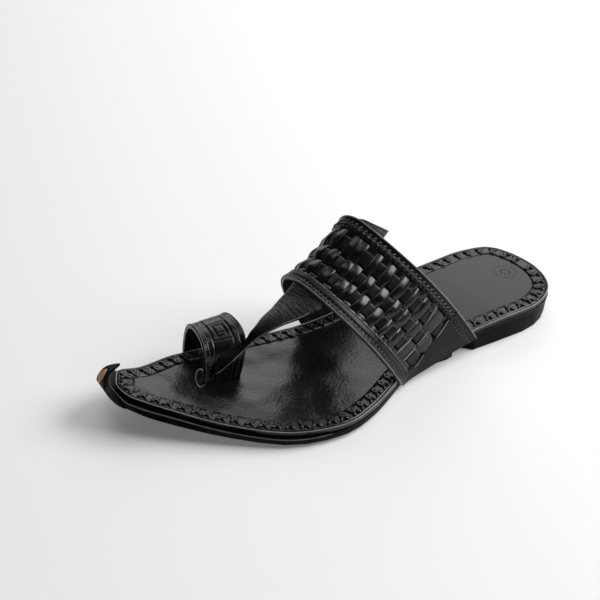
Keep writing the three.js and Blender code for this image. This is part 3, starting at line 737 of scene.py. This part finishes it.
def make_binding(name, shape, covered, roll_end, pitch, pull, turned):
    """One folded strap. Its roll ends at roll_end, and each stitch pulls it in by pull."""
    low, high = covered
    strap = cut_flat(name, BINDING_LONG, 1, 1, 420, 26, rounding=0)

    def place(x, y, z):
        # the front one is turned end for end, so that its outer roll has the worn edge
        across, t = (0.5 - y, 1 - x / BINDING_LONG) if turned else (y + 0.5, x / BINDING_LONG)
        share = low + (high - low) * across
        height = np.interp(across, shape[:, 0], shape[:, 1])
        roll = smooth(across / 0.06) * smooth((roll_end - across) / 0.08)
        away_from_foot = smooth((np.minimum(t, 1 - t) - 0.03) / 0.06)
        run = (t - 0.5) * float(band.length((low + high) / 2))
        gather = pull * np.cos(math.tau * (run / pitch - 0.55 * across))
        height = height + roll * away_from_foot * (0.26 * pucker(run, across * 7) + gather)
        back = -band_wall(t) + 0.4
        return band.at(share, t, np.where(z > -0.5, height, np.minimum(height - 0.3, back)))

    return lay(strap, place)


front_binding = make_binding("front_binding", FRONT_ROLL, FRONT_BINDING, 0.4, FRONT_PITCH, 0.12, True)
rear_binding = make_binding("rear_binding", REAR_ROLL, REAR_BINDING, 0.45, REAR_PITCH, 0.3, False)
print("bindings:", len(front_binding.data.polygons), len(rear_binding.data.polygons), "faces")

# %% [markdown]
# ## Thin pale lines
# Where leather is cut, its edge is burnished and shows as a thin pale line: along both
# bindings, along the rim of the insole and of the outsole, and at the ends of the strips. They
# are cords of about half a millimetre. A closed one starts as a torus and an open one as a
# cylinder, whose rings of points are then carried along the edge.

# %% Cords along edges
def open_cord(name, path, radius, flat=1.0):
    """A thin cord with tapered ends along a path of points on the last."""
    path = np.array(path, float)
    clear_bench()
    bpy.ops.mesh.primitive_cylinder_add(vertices=6, radius=1, depth=1)
    cord = bpy.context.object
    cord.name = name
    steps = len(path) - 1
    pick_edges(cord, lambda a, b: abs(a[2] - b[2]) > 0.5)
    bpy.ops.mesh.subdivide_edgering(number_cuts=steps - 1, interpolation="LINEAR")
    bpy.ops.object.mode_set(mode="OBJECT")
    points = points_of(cord)
    at = np.clip((points[:, 2] + 0.5) * steps, 0, steps)
    i = np.minimum(np.round(at).astype(int), steps)
    along = np.gradient(path, axis=0)
    along /= np.linalg.norm(along, axis=1)[:, None]
    side = np.cross(along, (0, 0, 1))
    side /= np.linalg.norm(side, axis=1)[:, None] + 1e-9
    up = np.cross(side, along)
    taper = np.minimum(1, 0.35 + np.minimum(i, steps - i) * 0.3)
    moved = path[i] + (side[i] * points[:, :1] + up[i] * points[:, 1:2] * flat) * radius * taper[:, None]
    move_points(cord, (moved + LAST_TO_FRAME) * MILLIMETRE)
    pick(cord)
    bpy.ops.object.shade_smooth()
    return cord


t_run = np.linspace(0.004, 0.996, 240)
band_lines = [
    open_cord("line_front_rim", band.at(0.006, t_run, -0.35), 0.34),
    open_cord("line_front_inner", band.at(0.1415, t_run, -0.34), 0.18),
    open_cord("line_rear_rim", band.at(0.994, t_run, -0.2), 0.36),
]
band_edge_lines = sew("band_edge_lines", band_lines)
print("edge lines of the band:", len(band_edge_lines.data.polygons), "faces")

# %% [markdown]
# ## Stitches
# One stitch is a short waxed thread that rises from the leather and goes back in. It is a
# cylinder with rounded ends, bent by moving its points, and each copy is turned to lie on the
# skin. A stitched line could be one bumpy cord, but separate stitches leave real shadows.

# %% One stitch, and rows of it
def make_stitch(length, radius):
    clear_bench()
    bpy.ops.mesh.primitive_cylinder_add(vertices=6, radius=radius, depth=length,
                                        rotation=(0, math.pi / 2, 0))
    stitch = bpy.context.object
    bpy.ops.object.transform_apply(rotation=True)
    pick_edges(stitch, lambda a, b: abs(a[0] - b[0]) > length / 2)
    bpy.ops.mesh.subdivide_edgering(number_cuts=3, interpolation="LINEAR")
    bpy.ops.object.mode_set(mode="OBJECT")
    points = points_of(stitch)
    reach = points[:, 0] / (length / 2)
    points[:, 1:] *= np.sqrt(np.clip(1.15 - reach**2, 0, 1))[:, None]
    points[:, 2] -= radius * 1.2 * reach**2
    move_points(stitch, points)
    bpy.ops.object.shade_smooth()
    return stitch


def on_skin(skin, share, t, angle):
    """A place function that sets a small piece on a skin, turned from the direction round it."""
    origin = skin.at(share, t, 0.0)
    round_way = skin.at(share, t + 0.004, 0.0) - skin.at(share, t - 0.004, 0.0)
    up = skin.at(share, t, 1.0) - origin
    round_way /= np.linalg.norm(round_way)
    across_way = np.cross(up, round_way)
    c, s = math.cos(angle), math.sin(angle)
    axes = np.stack([c * round_way + s * across_way, -s * round_way + c * across_way, up])
    return lambda x, y, z: origin + np.stack([x, y, z], 1) @ axes


def stitch_row(name, skin, stitch, where, height):
    row = []
    for number, (share, t, angle) in enumerate(where):
        one = copy_piece(stitch, f"{name}_{number}")
        put = on_skin(skin, share, t, angle)
        row.append(lay(one, lambda x, y, z: put(x, y, z + height)))
    return sew(name, row)


def evenly_round(skin, share, start, end, pitch):
    count = max(int((end - start) * float(skin.length(share)) / pitch), 1)
    return [start + (end - start) * (k + 0.5) / count for k in range(count)]


whip = make_stitch(3.0, 0.42)
tooth = make_stitch(1.5, 0.34)
dash = make_stitch(1.5, 0.24)
groove = REAR_BINDING[0] + 0.134 * 0.54
rear_marks = [(groove, t, math.radians(52)) for t in evenly_round(band, 0.94, 0.13, 0.87, REAR_PITCH)]
rear_stitches = stitch_row("rear_whip_stitches", band, whip, rear_marks, -0.5)
groove = FRONT_BINDING[1] * 0.43
front_marks = [(groove, t, math.radians(62)) for t in evenly_round(band, 0.06, 0.1, 0.9, FRONT_PITCH)]
front_stitches = stitch_row("front_whip_stitches", band, tooth, front_marks, -0.62)
# small plain stitches near both feet: share across, share whose length is read, first and
# last share round, pitch
foot_marks = [
    (share, t, 0.0)
    for share, read_at, first_t, last_t, pitch in (
        (groove, 0.06, 0.006, 0.095, 2.6),
        (0.862, 0.862, 0.012, 0.128, 2.8),
        (0.935, 0.935, 0.012, 0.128, 2.8))
    for t in evenly_round(band, read_at, first_t, last_t, pitch)]
foot_marks += [(share, 1 - t, 0.0) for share, t, _ in foot_marks]
foot_stitches = stitch_row("foot_stitches", band, dash, foot_marks, -0.1)
stitch_rows = (rear_stitches, front_stitches, foot_stitches)
print("stitches:", sum(len(row.data.polygons) for row in stitch_rows), "faces")

# %% [markdown]
# ## Curled ends by the panel
# Where the first and the third strip leave the panel, the cut leather curls up in a thin
# crescent with a dark pocket beside it. Each is a short tapering cord.

# %% Crescents
def crescent(name, start, end, bow, inner_side):
    w = np.linspace(0, 1, 18)
    share = start[1] + (end[1] - start[1]) * w
    t = start[0] + (end[0] - start[0]) * w - bow * np.sin(np.pi * w)
    t = 1 - t if inner_side else t
    return open_cord(name, band.at(share, t, 0.15), 0.3, flat=1.2)


crescents = [
    crescent(f"crescent_{i}_{int(side)}", start, end, bow, side)
    for side in (False, True)
    for i, (start, end, bow) in enumerate([
        ((0.041, 0.225), (0.068, 0.39), 0.002), ((0.098, 0.61), (0.131, 0.855), 0.001),
        ((0.097, 0.165), (0.116, 0.37), 0.0), ((0.12, 0.39), (0.139, 0.595), 0.0),
        ((0.142, 0.165), (0.158, 0.42), 0.0), ((0.173, 0.66), (0.197, 0.86), 0.0)])
]
strip_ends = sew("curled_strip_ends", crescents)
print("crescents:", len(crescents))

# %% [markdown]
# ## The toe ring
# The ring is one leather strap round the big toe with tooled lines: a rim, a sewn groove, a
# flat, a second groove, and a middle panel with a pressed square, and the same again behind.
# Tooling presses the face down, so the strap is a fine grid whose heights drop along the
# lines. Boolean grooves would be crisper than leather ever is.

# %% Ring with its tooling
RING_SECTION = np.array([(0, -0.9), (0.018, -0.1), (0.05, 0.02), (0.075, -0.15), (0.12, -0.12),
                         (0.135, -0.42), (0.15, -0.12), (0.24, -0.1), (0.262, -0.6), (0.285, -0.1),
                         (0.3, 0.0), (0.7, 0.0), (0.715, -0.1), (0.738, -0.6), (0.76, -0.1),
                         (0.85, -0.12), (0.865, -0.42), (0.88, -0.12), (0.925, -0.15), (0.95, 0.02),
                         (0.982, -0.1), (1, -0.9)])
# the pressed square: from and to round the ring, from and to across it
SQUARE_ROUND, SQUARE_ACROSS = (0.378, 0.48), (0.39, 0.62)
RING_LONG, RING_WIDE, RING_CUT = 78, 21, 80


def tooling(share, t):
    """Depth of the pressed square and of the fainter frame round it."""
    (t0, t1), (s0, s1) = SQUARE_ROUND, SQUARE_ACROSS
    away = np.maximum(np.maximum(t0 - t, t - t1) * RING_LONG, np.maximum(s0 - share, share - s1) * RING_WIDE)
    return -0.75 * np.exp(-((away / 0.42) ** 2)) - 0.5 * np.exp(-(((away - 2.3) / 0.35) ** 2))


toe_ring = cut_flat("toe_ring", RING_CUT, 1, 1, 250, 70, rounding=0)


def place_ring(x, y, z):
    t, share = np.clip(x / RING_CUT, 0, 1), np.clip(y + 0.5, 0, 1)
    face = np.interp(share, RING_SECTION[:, 0], RING_SECTION[:, 1]) + tooling(share, t)
    return ring.at(share, t, np.where(z > -0.5, face, -RING_WALL))


lay(toe_ring, place_ring)
ring_marks = [(s, t, 0.0) for s in (0.135, 0.865) for t in evenly_round(ring, 0.5, 0.06, 0.94, 2.3)]
ring_stitches = stitch_row("ring_stitches", ring, dash, ring_marks, -0.3)
ring_run = np.linspace(0.03, 0.97, 120)
ring_lines = sew("ring_edge_lines", [
    open_cord("ring_line_front", ring.at(0.03, ring_run, 0.0), 0.3),
    open_cord("ring_line_rear", ring.at(0.97, ring_run, 0.0), 0.3),
    open_cord("ring_crescent", ring.at(np.array([0.38, 0.44, 0.52, 0.6, 0.66]),
                                       np.array([0.243, 0.231, 0.226, 0.236, 0.252]), 0.15), 0.36),
])
print("ring faces", len(toe_ring.data.polygons))

# %% [markdown]
# The front rim ends in a small folded loop where it meets the insole. It is part of a torus.

# %% Loop at the foot of the ring
loop_turn = np.linspace(0.9, 5.5, 26)[:, None]
loop_centre = np.array([-2.0, -97.6, 16.9])
loop_side, loop_up = np.array([0.5, 0.86, 0.0]), np.array([-0.2, 0.12, 0.97])
loop_path = loop_centre + 2.7 * np.cos(loop_turn) * loop_side + 5.4 * np.sin(loop_turn) * loop_up
ring_loop = open_cord("ring_foot_loop", loop_path, 0.4)
print("loop done")

# %% [markdown]
# ## The link strap
# It starts flat against the ring, stands upright beside the toe, turns flat as it rises and
# goes under the band. Its outer face is a skin of its own, from smooth curves through a table
# of edge points, and one flat strap is laid on it.

# %% Link strap
# on the ring: share across it, then the two shares round it that the strap lies between
ON_RING = [(0.2, 0.115, 0.16), (0.36, 0.135, 0.235), (0.52, 0.168, 0.245), (0.68, 0.2, 0.257),
           (0.86, 0.236, 0.275)]
# free: outer edge, inner edge, crown
FREE = [
    ((0.6, -67.3, 30.5), (-2.6, -65.5, 36), 0.8), ((3.8, -63.9, 35.3), (-3, -62.3, 38.2), 1.4),
    ((8.3, -58.7, 40.8), (-3.8, -57.5, 42.3), 1.9), ((13, -53.2, 46), (-4.2, -51.6, 45.8), 1.9),
    ((18, -45.4, 50.4), (-4.1, -46.3, 50.4), 1.5), ((21.4, -36.8, 54.6), (-3.4, -41.6, 54.8), 1.2),
]
LINK_WALL = 1.8
LINK_FACES = np.array([0.6, -0.4, 1])
LINK_LONG, LINK_WIDE = 140, 16


def link_column(w):
    route = [ring.at(s, a + (b - a) * w, 1.2) for s, a, b in ON_RING]
    for outer, inner, crown in FREE:
        p = np.array(outer) + (np.array(inner) - np.array(outer)) * w
        route.append(p + np.array([crown * w * (1 - w), 0, crown * 4 * w * (1 - w)]))
    for step in np.linspace(0, 1, 5):
        share = 0.08 + 0.92 * step
        outer_t, inner_t = 0.41 + 0.027 * step, 0.575 - 0.045 * step
        t = outer_t + (inner_t - outer_t) * w
        route.append(band.at(share, t, -float(band_wall(t))))
    tail = route[-1] - route[-2]
    route.append(route[-1] + tail / np.linalg.norm(tail) * (5.5 - 5.0 * w))
    return spline(route, False, np.linspace(0, 1, 140))


link_points = np.array([link_column(w) for w in np.linspace(0, 1, 11)])
facing = square_to(link_points)
wrong_way = (facing * LINK_FACES).sum(2, keepdims=True) < 0
link = Skin(link_points, facing * np.where(wrong_way, -1, 1))

link_strap = cut_flat("link_strap", LINK_LONG, LINK_WIDE, 1, 200, 18, rounding=0)


def place_link(x, y, z):
    t, w = x / LINK_LONG, y / LINK_WIDE + 0.5
    from_edge = np.minimum(w, 1 - w)
    face = 0.3 - 0.55 * (1 - smooth(from_edge / 0.05)) + 0.3 * np.exp(-(((w - 0.035) / 0.03) ** 2))
    return link.at(w, t, np.where(z > -0.5, face, -LINK_WALL + 0.3))


lay(link_strap, place_link)
# a pale cord along the strap's lower edge for most of its length: a painted highlight where that edge catches
# the light
link_run = np.linspace(0.012, 0.6, 110)
link_highlight_line = open_cord("link_edge_line", link.at(0.012, link_run, 0.2), 0.38)
tab_line = open_cord("tab_edge_line", np.vstack([link.at(0.02, np.linspace(0.9, 0.995, 12), 0.2),
                                                link.at(np.linspace(0.05, 0.95, 12), 0.995, 0.2)]), 0.3)
link_lines_piece = sew("link_edge_lines", [link_highlight_line, tab_line])
print("link strap faces", len(link_strap.data.polygons))

# %% [markdown]
# ## Lacing round the insole
# A black thong is laced through slits all round the rim, and each pass shows as a small knot:
# a loop on the inner side and two short ends spread towards the rim. One knot is shaped from a
# torus and two cylinders and copied eighty-one times, so it has few faces.

# %% One knot
def make_knot():
    clear_bench()
    bpy.ops.mesh.primitive_torus_add(major_radius=1.15, minor_radius=0.95, major_segments=14,
                                     minor_segments=6, location=(0, 1.3, 0.42))
    loop = bpy.context.object
    work_all(bpy.ops.transform.resize, value=(0.95, 1.2, 0.85), center_override=(0, 1.3, 0.42))
    parts = [loop]
    for side in (-1, 1):
        end = make_stitch(4.4, 0.95)
        points = points_of(end)
        turn = math.radians(90 - side * 42)
        c, s = math.cos(turn), math.sin(turn)
        x, y, z = points.T
        move_points(end, np.stack([c * x - s * y - side * 1.35, s * x + c * y - 1.5, z * 0.9 + 0.7], 1))
        parts.append(end)
    for part in parts:
        pick(part)
        bpy.ops.object.transform_apply()
    return sew("knot", parts)


knot = make_knot()
lace_loop = inset(insole_loop, 5.6)
spans = np.roll(lace_loop, -1, axis=0) - lace_loop
lace_run = np.concatenate([[0], np.cumsum(np.linalg.norm(spans, axis=1))])
knots, at = [], 2.0
while at < lace_run[-1] - 5:
    i = int(np.searchsorted(lace_run, at)) % len(lace_loop)
    here = lace_loop[i]
    along = lace_loop[(i + 3) % len(lace_loop)] - lace_loop[i - 3]
    along /= np.linalg.norm(along)
    inward = np.array([along[1], -along[0]])
    one = copy_piece(knot, f"knot_{len(knots)}")
    lean, size = draws.uniform(-0.3, 0.3), draws.uniform(1.0, 1.18)

    def place(x, y, z):
        flat = here + np.outer((x + lean * y) * size, along) + np.outer(y * size, inward)
        return np.column_stack([flat, bed_height(flat[:, 1]) + z])

    knots.append(lay(one, place))
    at += 8.5 - 1.2 * float(smooth((60 - here[1]) / 60))
scrap(knot)
lacing = sew("border_lacing", knots)
print("knots", len(knots), "faces", len(lacing.data.polygons))

# %% [markdown]
# ## Rims of the sole
# The insole's rim and the toe of the outsole show the same pale line of burnished leather.
# A torus gives the closed one: its rings are carried round the insole's outline. A second one,
# pressed nearly flat, is the band of leather that the lacing runs over.

# %% Edge lines of the sole
def closed_cord(name, loop, heights, radius, thick=None):
    clear_bench()
    count = len(loop)
    bpy.ops.mesh.primitive_torus_add(major_radius=10, minor_radius=1, major_segments=count,
                                     minor_segments=6)
    cord = bpy.context.object
    cord.name = name
    points = points_of(cord)
    turn = np.round(np.arctan2(points[:, 1], points[:, 0]) / (2 * math.pi) * count).astype(int) % count
    out = np.hypot(points[:, 0], points[:, 1]) - 10
    flat = loop[turn] - inwards(loop)[turn] * out[:, None] * radius
    height = heights[turn] + points[:, 2] * (thick or radius)
    if thick:
        height += bed_height(flat[:, 1]) - bed_height(loop[turn][:, 1])
    moved = np.column_stack([flat, height])
    move_points(cord, (moved + LAST_TO_FRAME) * MILLIMETRE)
    work_all(bpy.ops.mesh.normals_make_consistent, inside=False)
    bpy.ops.object.shade_smooth()
    return cord


border_loop = inset(insole_loop, 5.3)
border_band = closed_cord("lacing_border", border_loop, bed_height(border_loop[:, 1]) + 0.02, 4.9, 0.06)
rim_loop = inset(insole_loop, 0.35)
insole_rim = closed_cord("insole_rim_line", rim_loop, bed_height(rim_loop[:, 1]) - 0.12, 0.34)


def curl(x, y, depth):
    """A point of the flat outsole, bent up and back with the curled toe."""
    x, y, depth = np.broadcast_arrays(*(np.asarray(v, float) for v in (x, y, depth)))
    past = CURL_START - y
    first = float(outsole_height(CURL_START))
    start = math.atan2(float(outsole_height(CURL_START - 1)) - first, 1)
    angle = np.minimum(start + past / CURL_RADIUS, CURL_TURN)
    straight = np.maximum(past - CURL_RADIUS * (angle - start), 0)
    thinning = 1 + (CURL_TIP_THICK / OUTSOLE_THICK - 1) * past / CURL_LENGTH
    swelling = 0.3 * smooth(1 - np.abs(past - 3.6) / 3.6)
    radius = CURL_RADIUS + depth * (thinning + swelling)
    bent_y = CURL_START + CURL_RADIUS * math.sin(start) - radius * np.sin(angle) - straight * np.cos(angle)
    bent_z = first + CURL_RADIUS * math.cos(start) - radius * np.cos(angle) + straight * np.sin(angle)
    lying = past <= 0
    return np.stack([x, np.where(lying, y, bent_y), np.where(lying, outsole_height(y) - depth, bent_z)], -1)


toe_rim = inset(outsole_loop, 0.3)[(outsole_loop[:, 1] < -52)]
outsole_rim = open_cord("outsole_rim_line", curl(toe_rim[:, 0], toe_rim[:, 1], 0.05), 0.33)
print("sole lines faces", len(insole_rim.data.polygons) + len(outsole_rim.data.polygons))

# %% [markdown]
# ## Bare patch on the toe
# The curled toe is left undyed on its outer face: a small tan teardrop. It is a flat piece,
# rounded by its table of widths, laid on the curl's outer side.

# %% Toe patch
PATCH_LONG, PATCH_START = 5, 4.3
patch = cut_flat("toe_patch", PATCH_LONG, 2, 0.2, 24, 12, rounding=0)
PATCH_WIDTH = np.array([(0, 0.3), (0.12, 1.6), (0.35, 2.3), (0.6, 2.1), (0.85, 1.2), (1, 0.3)])


def place_patch(x, y, z):
    along = x / PATCH_LONG
    past = PATCH_START + x
    middle = np.interp(past, [r[0] for r in CURL_TABLE] + [CURL_LENGTH],
                       [(r[1] + r[2]) / 2 for r in CURL_TABLE] + [CURL_TIP_X])
    half = np.interp(along, PATCH_WIDTH[:, 0], PATCH_WIDTH[:, 1])
    return curl(middle + y * half, CURL_START - past, OUTSOLE_THICK + 0.12 + z)


lay(patch, place_patch)
print("patch", len(patch.data.polygons))

# %% [markdown]
# ## Mark on the heel seat
# A small ring of dashes with a plain rosette is pressed into the heel seat. The dashes are
# short copies of one stitch laid flat, dark as pressed leather is.

# %% Heel mark
mark_dash = make_stitch(1.35, 0.27)
mark_parts = []
MARK_CENTRE, MARK_RADIUS = np.array([-1.4, 120.9]), 7.1


def add_mark(radius, turn, lie, size):
    one = copy_piece(mark_dash, f"mark_{len(mark_parts)}")
    centre = MARK_CENTRE + radius * np.array([math.cos(turn), math.sin(turn)])
    c, s = math.cos(lie), math.sin(lie)

    def place(x, y, z):
        flat = centre + np.column_stack([c * x - s * y, s * x + c * y]) * size
        return np.column_stack([flat, bed_height(flat[:, 1]) + z * 0.4 + 0.06])

    mark_parts.append(lay(one, place))


for k in range(24):
    add_mark(MARK_RADIUS, k * math.tau / 24, k * math.tau / 24 + math.pi / 2, 0.85)
for k in range(8):
    add_mark(2.9, k * math.tau / 8, k * math.tau / 8, 1.35)
heel_mark = sew("heel_mark", mark_parts)
for spare in (mark_dash, whip, tooth, dash):
    scrap(spare)
print("mark faces", len(heel_mark.data.polygons))

# %% [markdown]
# ## Finishes of the sole
# The insole is the largest face: a soft sheen, smooth under the heel and pebbled towards the
# toe and the rim. The outsole and the heel are stacked leather, so fine lines run level round
# their edges. The tread is ribbed rubber. These solids keep their shape and only get materials.

# %% Sole materials
def sole_finish(name, dark, light, rough, specular, layers=None, pebble=650.0, bump=0.0001, ribs=None):
    """Leather or rubber of the sole. layers are level lines per metre, ribs are lines across."""
    made = leather(name, dark, light, rough, pebble=pebble, bump=bump, specular=specular)
    tree = made.node_tree
    if layers or ribs:
        height = first(tree, "ShaderNodeBump").inputs["Height"]
        axis = "Z" if layers else "Y"
        wave = node(tree, "ShaderNodeTexWave", {"bands_direction": axis}, Scale=layers or ribs,
                    Vector=first(tree, "ShaderNodeTexCoord").outputs["Object"], Distortion=0.6, Detail=2.0)
        relief = math_node(tree, "MULTIPLY_ADD", wave.outputs["Fac"], 0.8, height.links[0].from_socket)
        tree.links.new(relief, height)
    return made


insole_finish = sole_finish("insole leather", (0.0035, 0.0038, 0.0042), (0.0042, 0.0046, 0.005),
                            (0.27, 0.29), 0.5, pebble=640.0, bump=0.00024)
tree = insole_finish.node_tree
grain_bump = first(tree, "ShaderNodeBump")
place = first(tree, "ShaderNodeTexCoord").outputs["Object"]
along_foot = node(tree, "ShaderNodeSeparateXYZ", Vector=place).outputs["Y"]
# from the waist to the ball, in metres from the middle: more grain, more gloss, and low waves
pebbled = ramp(tree, along_foot, 0.09, 0.02, 0.03, 0.8)
gloss = ramp(tree, along_foot, 0.09, 0.02, 0.4, 0.52)
wavy = ramp(tree, along_foot, 0.02, -0.03, 0.0, 0.8)
waves = node(tree, "ShaderNodeTexNoise", Vector=place, Scale=38.0, Detail=1.0)
swell = node(tree, "ShaderNodeBump", Height=waves.outputs["Fac"], Strength=wavy, Distance=0.005)
tree.links.new(pebbled, grain_bump.inputs["Strength"])
tree.links.new(swell.outputs["Normal"], grain_bump.inputs["Normal"])
tree.links.new(gloss, first(tree, "ShaderNodeBsdfPrincipled").inputs["Specular IOR Level"])

outsole_finish = sole_finish("outsole leather", (0.002, 0.002, 0.0022), (0.0045, 0.0045, 0.005),
                             (0.36, 0.48), 0.07, layers=260.0)
heel_finish = sole_finish("heel leather", (0.002, 0.002, 0.0022), (0.004, 0.004, 0.0042), (0.45, 0.6), 0.07,
                          layers=190.0)
tread_finish = sole_finish("tread rubber", (0.004, 0.004, 0.004), (0.007, 0.007, 0.007), (0.6, 0.75), 0.3,
                           ribs=80.0)
bare_leather = leather("bare tan leather", (0.42, 0.2, 0.1), (0.62, 0.36, 0.2), (0.6, 0.75),
                       edge_wear_and_highlight=(0.72, 0.5, 0.32), edge="Both", start=0.62, pebble=900.0)
border_leather = leather("laced border leather", (0.006, 0.0064, 0.0068), (0.024, 0.025, 0.026), (0.29, 0.34),
                         pebble=480.0, bump=0.0003)
pressed_leather = leather("pressed leather", (0.003, 0.003, 0.003), (0.006, 0.006, 0.006), (0.6, 0.7),
                          specular=0.12)
print("sole finishes ready")

# %% Give every piece its finish and its place in the frame
def dress(piece, material, replaced=None):
    piece.data.materials.clear()
    piece.data.materials.append(material)
    if replaced:
        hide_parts(*replaced)
    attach(piece, "root")


def burnished_copy(node_name, name):
    """A copy of a solid with its loose triangles merged and its curved sides shaded smooth."""
    twin = copy_piece(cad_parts[node_name], name)
    for key in list(twin.keys()):
        if key.startswith("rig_"):
            del twin[key]
    twin.parent = None
    pick(twin)
    work_all(bpy.ops.mesh.remove_doubles, threshold=0.00001)
    if twin.data.has_custom_normals:
        bpy.ops.mesh.customdata_custom_splitnormals_clear()
    bpy.ops.object.shade_smooth_by_angle(angle=math.radians(28))
    print(name, len(twin.data.polygons), "faces")
    return twin


for node_name, name, material, slot_name in (
    ("insole", "insole_bed", insole_finish, "insole_leather"),
    ("outsole", "outsole_layer", outsole_finish, "sole_leather"),
    ("heel", "heel_stack", heel_finish, "heel_leather"),
    ("forefoot_tread", "tread_pad", tread_finish, "tread_rubber"),
):
    dress(burnished_copy(node_name, name), material, [node_name])

dress(long_weave, strip_leather, ["upper"])
for piece, material in (
    (cross_weave, cross_leather), (lining, lining_leather),
    (panels[0], panel_leather), (panels[1], panel_leather),
    (front_binding, binding_leather), (rear_binding, binding_leather), (band_edge_lines, edge_leather),
    (rear_stitches, thread), (front_stitches, thread), (foot_stitches, thread), (strip_ends, edge_leather),
    (toe_ring, ring_leather), (ring_stitches, thread), (ring_lines, dim_edge_leather),
    (ring_loop, edge_leather),
    (link_strap, link_leather), (link_lines_piece, edge_leather),
):
    dress(piece, material)
for piece, material, slot_name in (
    (lacing, thong_leather, "insole_leather"), (border_band, border_leather, "insole_leather"),
    (heel_mark, pressed_leather, "insole_leather"), (insole_rim, edge_leather, "insole_leather"),
    (outsole_rim, dim_edge_leather, "sole_leather"), (patch, bare_leather, "sole_leather"),
):
    dress(piece, material)

# %% [markdown]
# ## The studio
# The sandal stands on a plain pale sweep. Black leather shows the room more than itself, so
# one wide soft light stands behind the far side and lights the insole, one behind the heel
# puts the bright crests on the weave, and the front stays dark.

# %% Floor and lights
clear_bench()
bpy.ops.mesh.primitive_plane_add(size=8, location=(0, 0, -0.0002))
floor = bpy.context.object
floor.name = "floor"
floor_paint = bpy.data.materials.new("pale floor")
floor_paint.use_nodes = True
paint = floor_paint.node_tree.nodes["Principled BSDF"]
paint.inputs["Base Color"].default_value = (0.8, 0.8, 0.795, 1)
paint.inputs["Roughness"].default_value = 0.85
paint.inputs["Specular IOR Level"].default_value = 0.1
paint.inputs["Emission Color"].default_value = (1, 1, 0.99, 1)
paint.inputs["Emission Strength"].default_value = 0.14
floor.data.materials.append(floor_paint)


def soft_light(name, at, aim, size, power):
    lamp = bpy.data.lights.new(name, "AREA")
    lamp.shape = "RECTANGLE"
    lamp.size, lamp.size_y = size
    lamp.energy = power
    holder = bpy.data.objects.new(name, lamp)
    holder.location = at
    holder.rotation_euler = (Vector(aim) - Vector(at)).to_track_quat("-Z", "Y").to_euler()
    bpy.context.scene.collection.objects.link(holder)
    return holder


lights = [
    soft_light("light behind the far side", (-1.05, 0.6, 0.8), (0, 0, 0.03), (1.6, 1.1), 8.8),
    soft_light("light behind the heel", (0.42, 1.0, 0.95), (0, 0, 0.04), (1.35, 0.8), 24.5),
    soft_light("light overhead", (0.0, -0.1, 1.9), (0, 0, 0), (1.0, 1.0), 5),
]
world = bpy.context.scene.world or bpy.data.worlds.new("room")
bpy.context.scene.world = world
world.use_nodes = True
world.node_tree.nodes["Background"].inputs["Color"].default_value = (1, 1, 1, 1)
world.node_tree.nodes["Background"].inputs["Strength"].default_value = 0.04
bpy.context.scene.view_settings.view_transform = "Standard"
print("lights:", [light.name for light in lights])

# %% [markdown]
# ## The camera
# It stands in front of the outer side of the shoe, about a third of a right angle above the
# floor, close enough that the toe looks a little larger than the heel.

# %% Camera
AZIMUTH, ELEVATION, DISTANCE = 58.98, 32.95, 0.62706
target = Vector((-0.06084, -0.00201, 0.01162))
az, el = math.radians(AZIMUTH), math.radians(ELEVATION)
back = Vector((math.sin(az) * math.cos(el), -math.cos(az) * math.cos(el), math.sin(el)))
lens = bpy.data.cameras.new("camera")
lens.lens, lens.sensor_width = 59.8, 36
lens.clip_start, lens.clip_end = 0.01, 50
camera = bpy.data.objects.new("camera", lens)
camera.rotation_mode = "QUATERNION"
camera.location = target + back * DISTANCE
camera.rotation_quaternion = (-back).to_track_quat("-Z", "Y")
bpy.context.scene.collection.objects.link(camera)
bpy.context.scene.camera = camera
print("camera at", [round(v, 3) for v in camera.location])
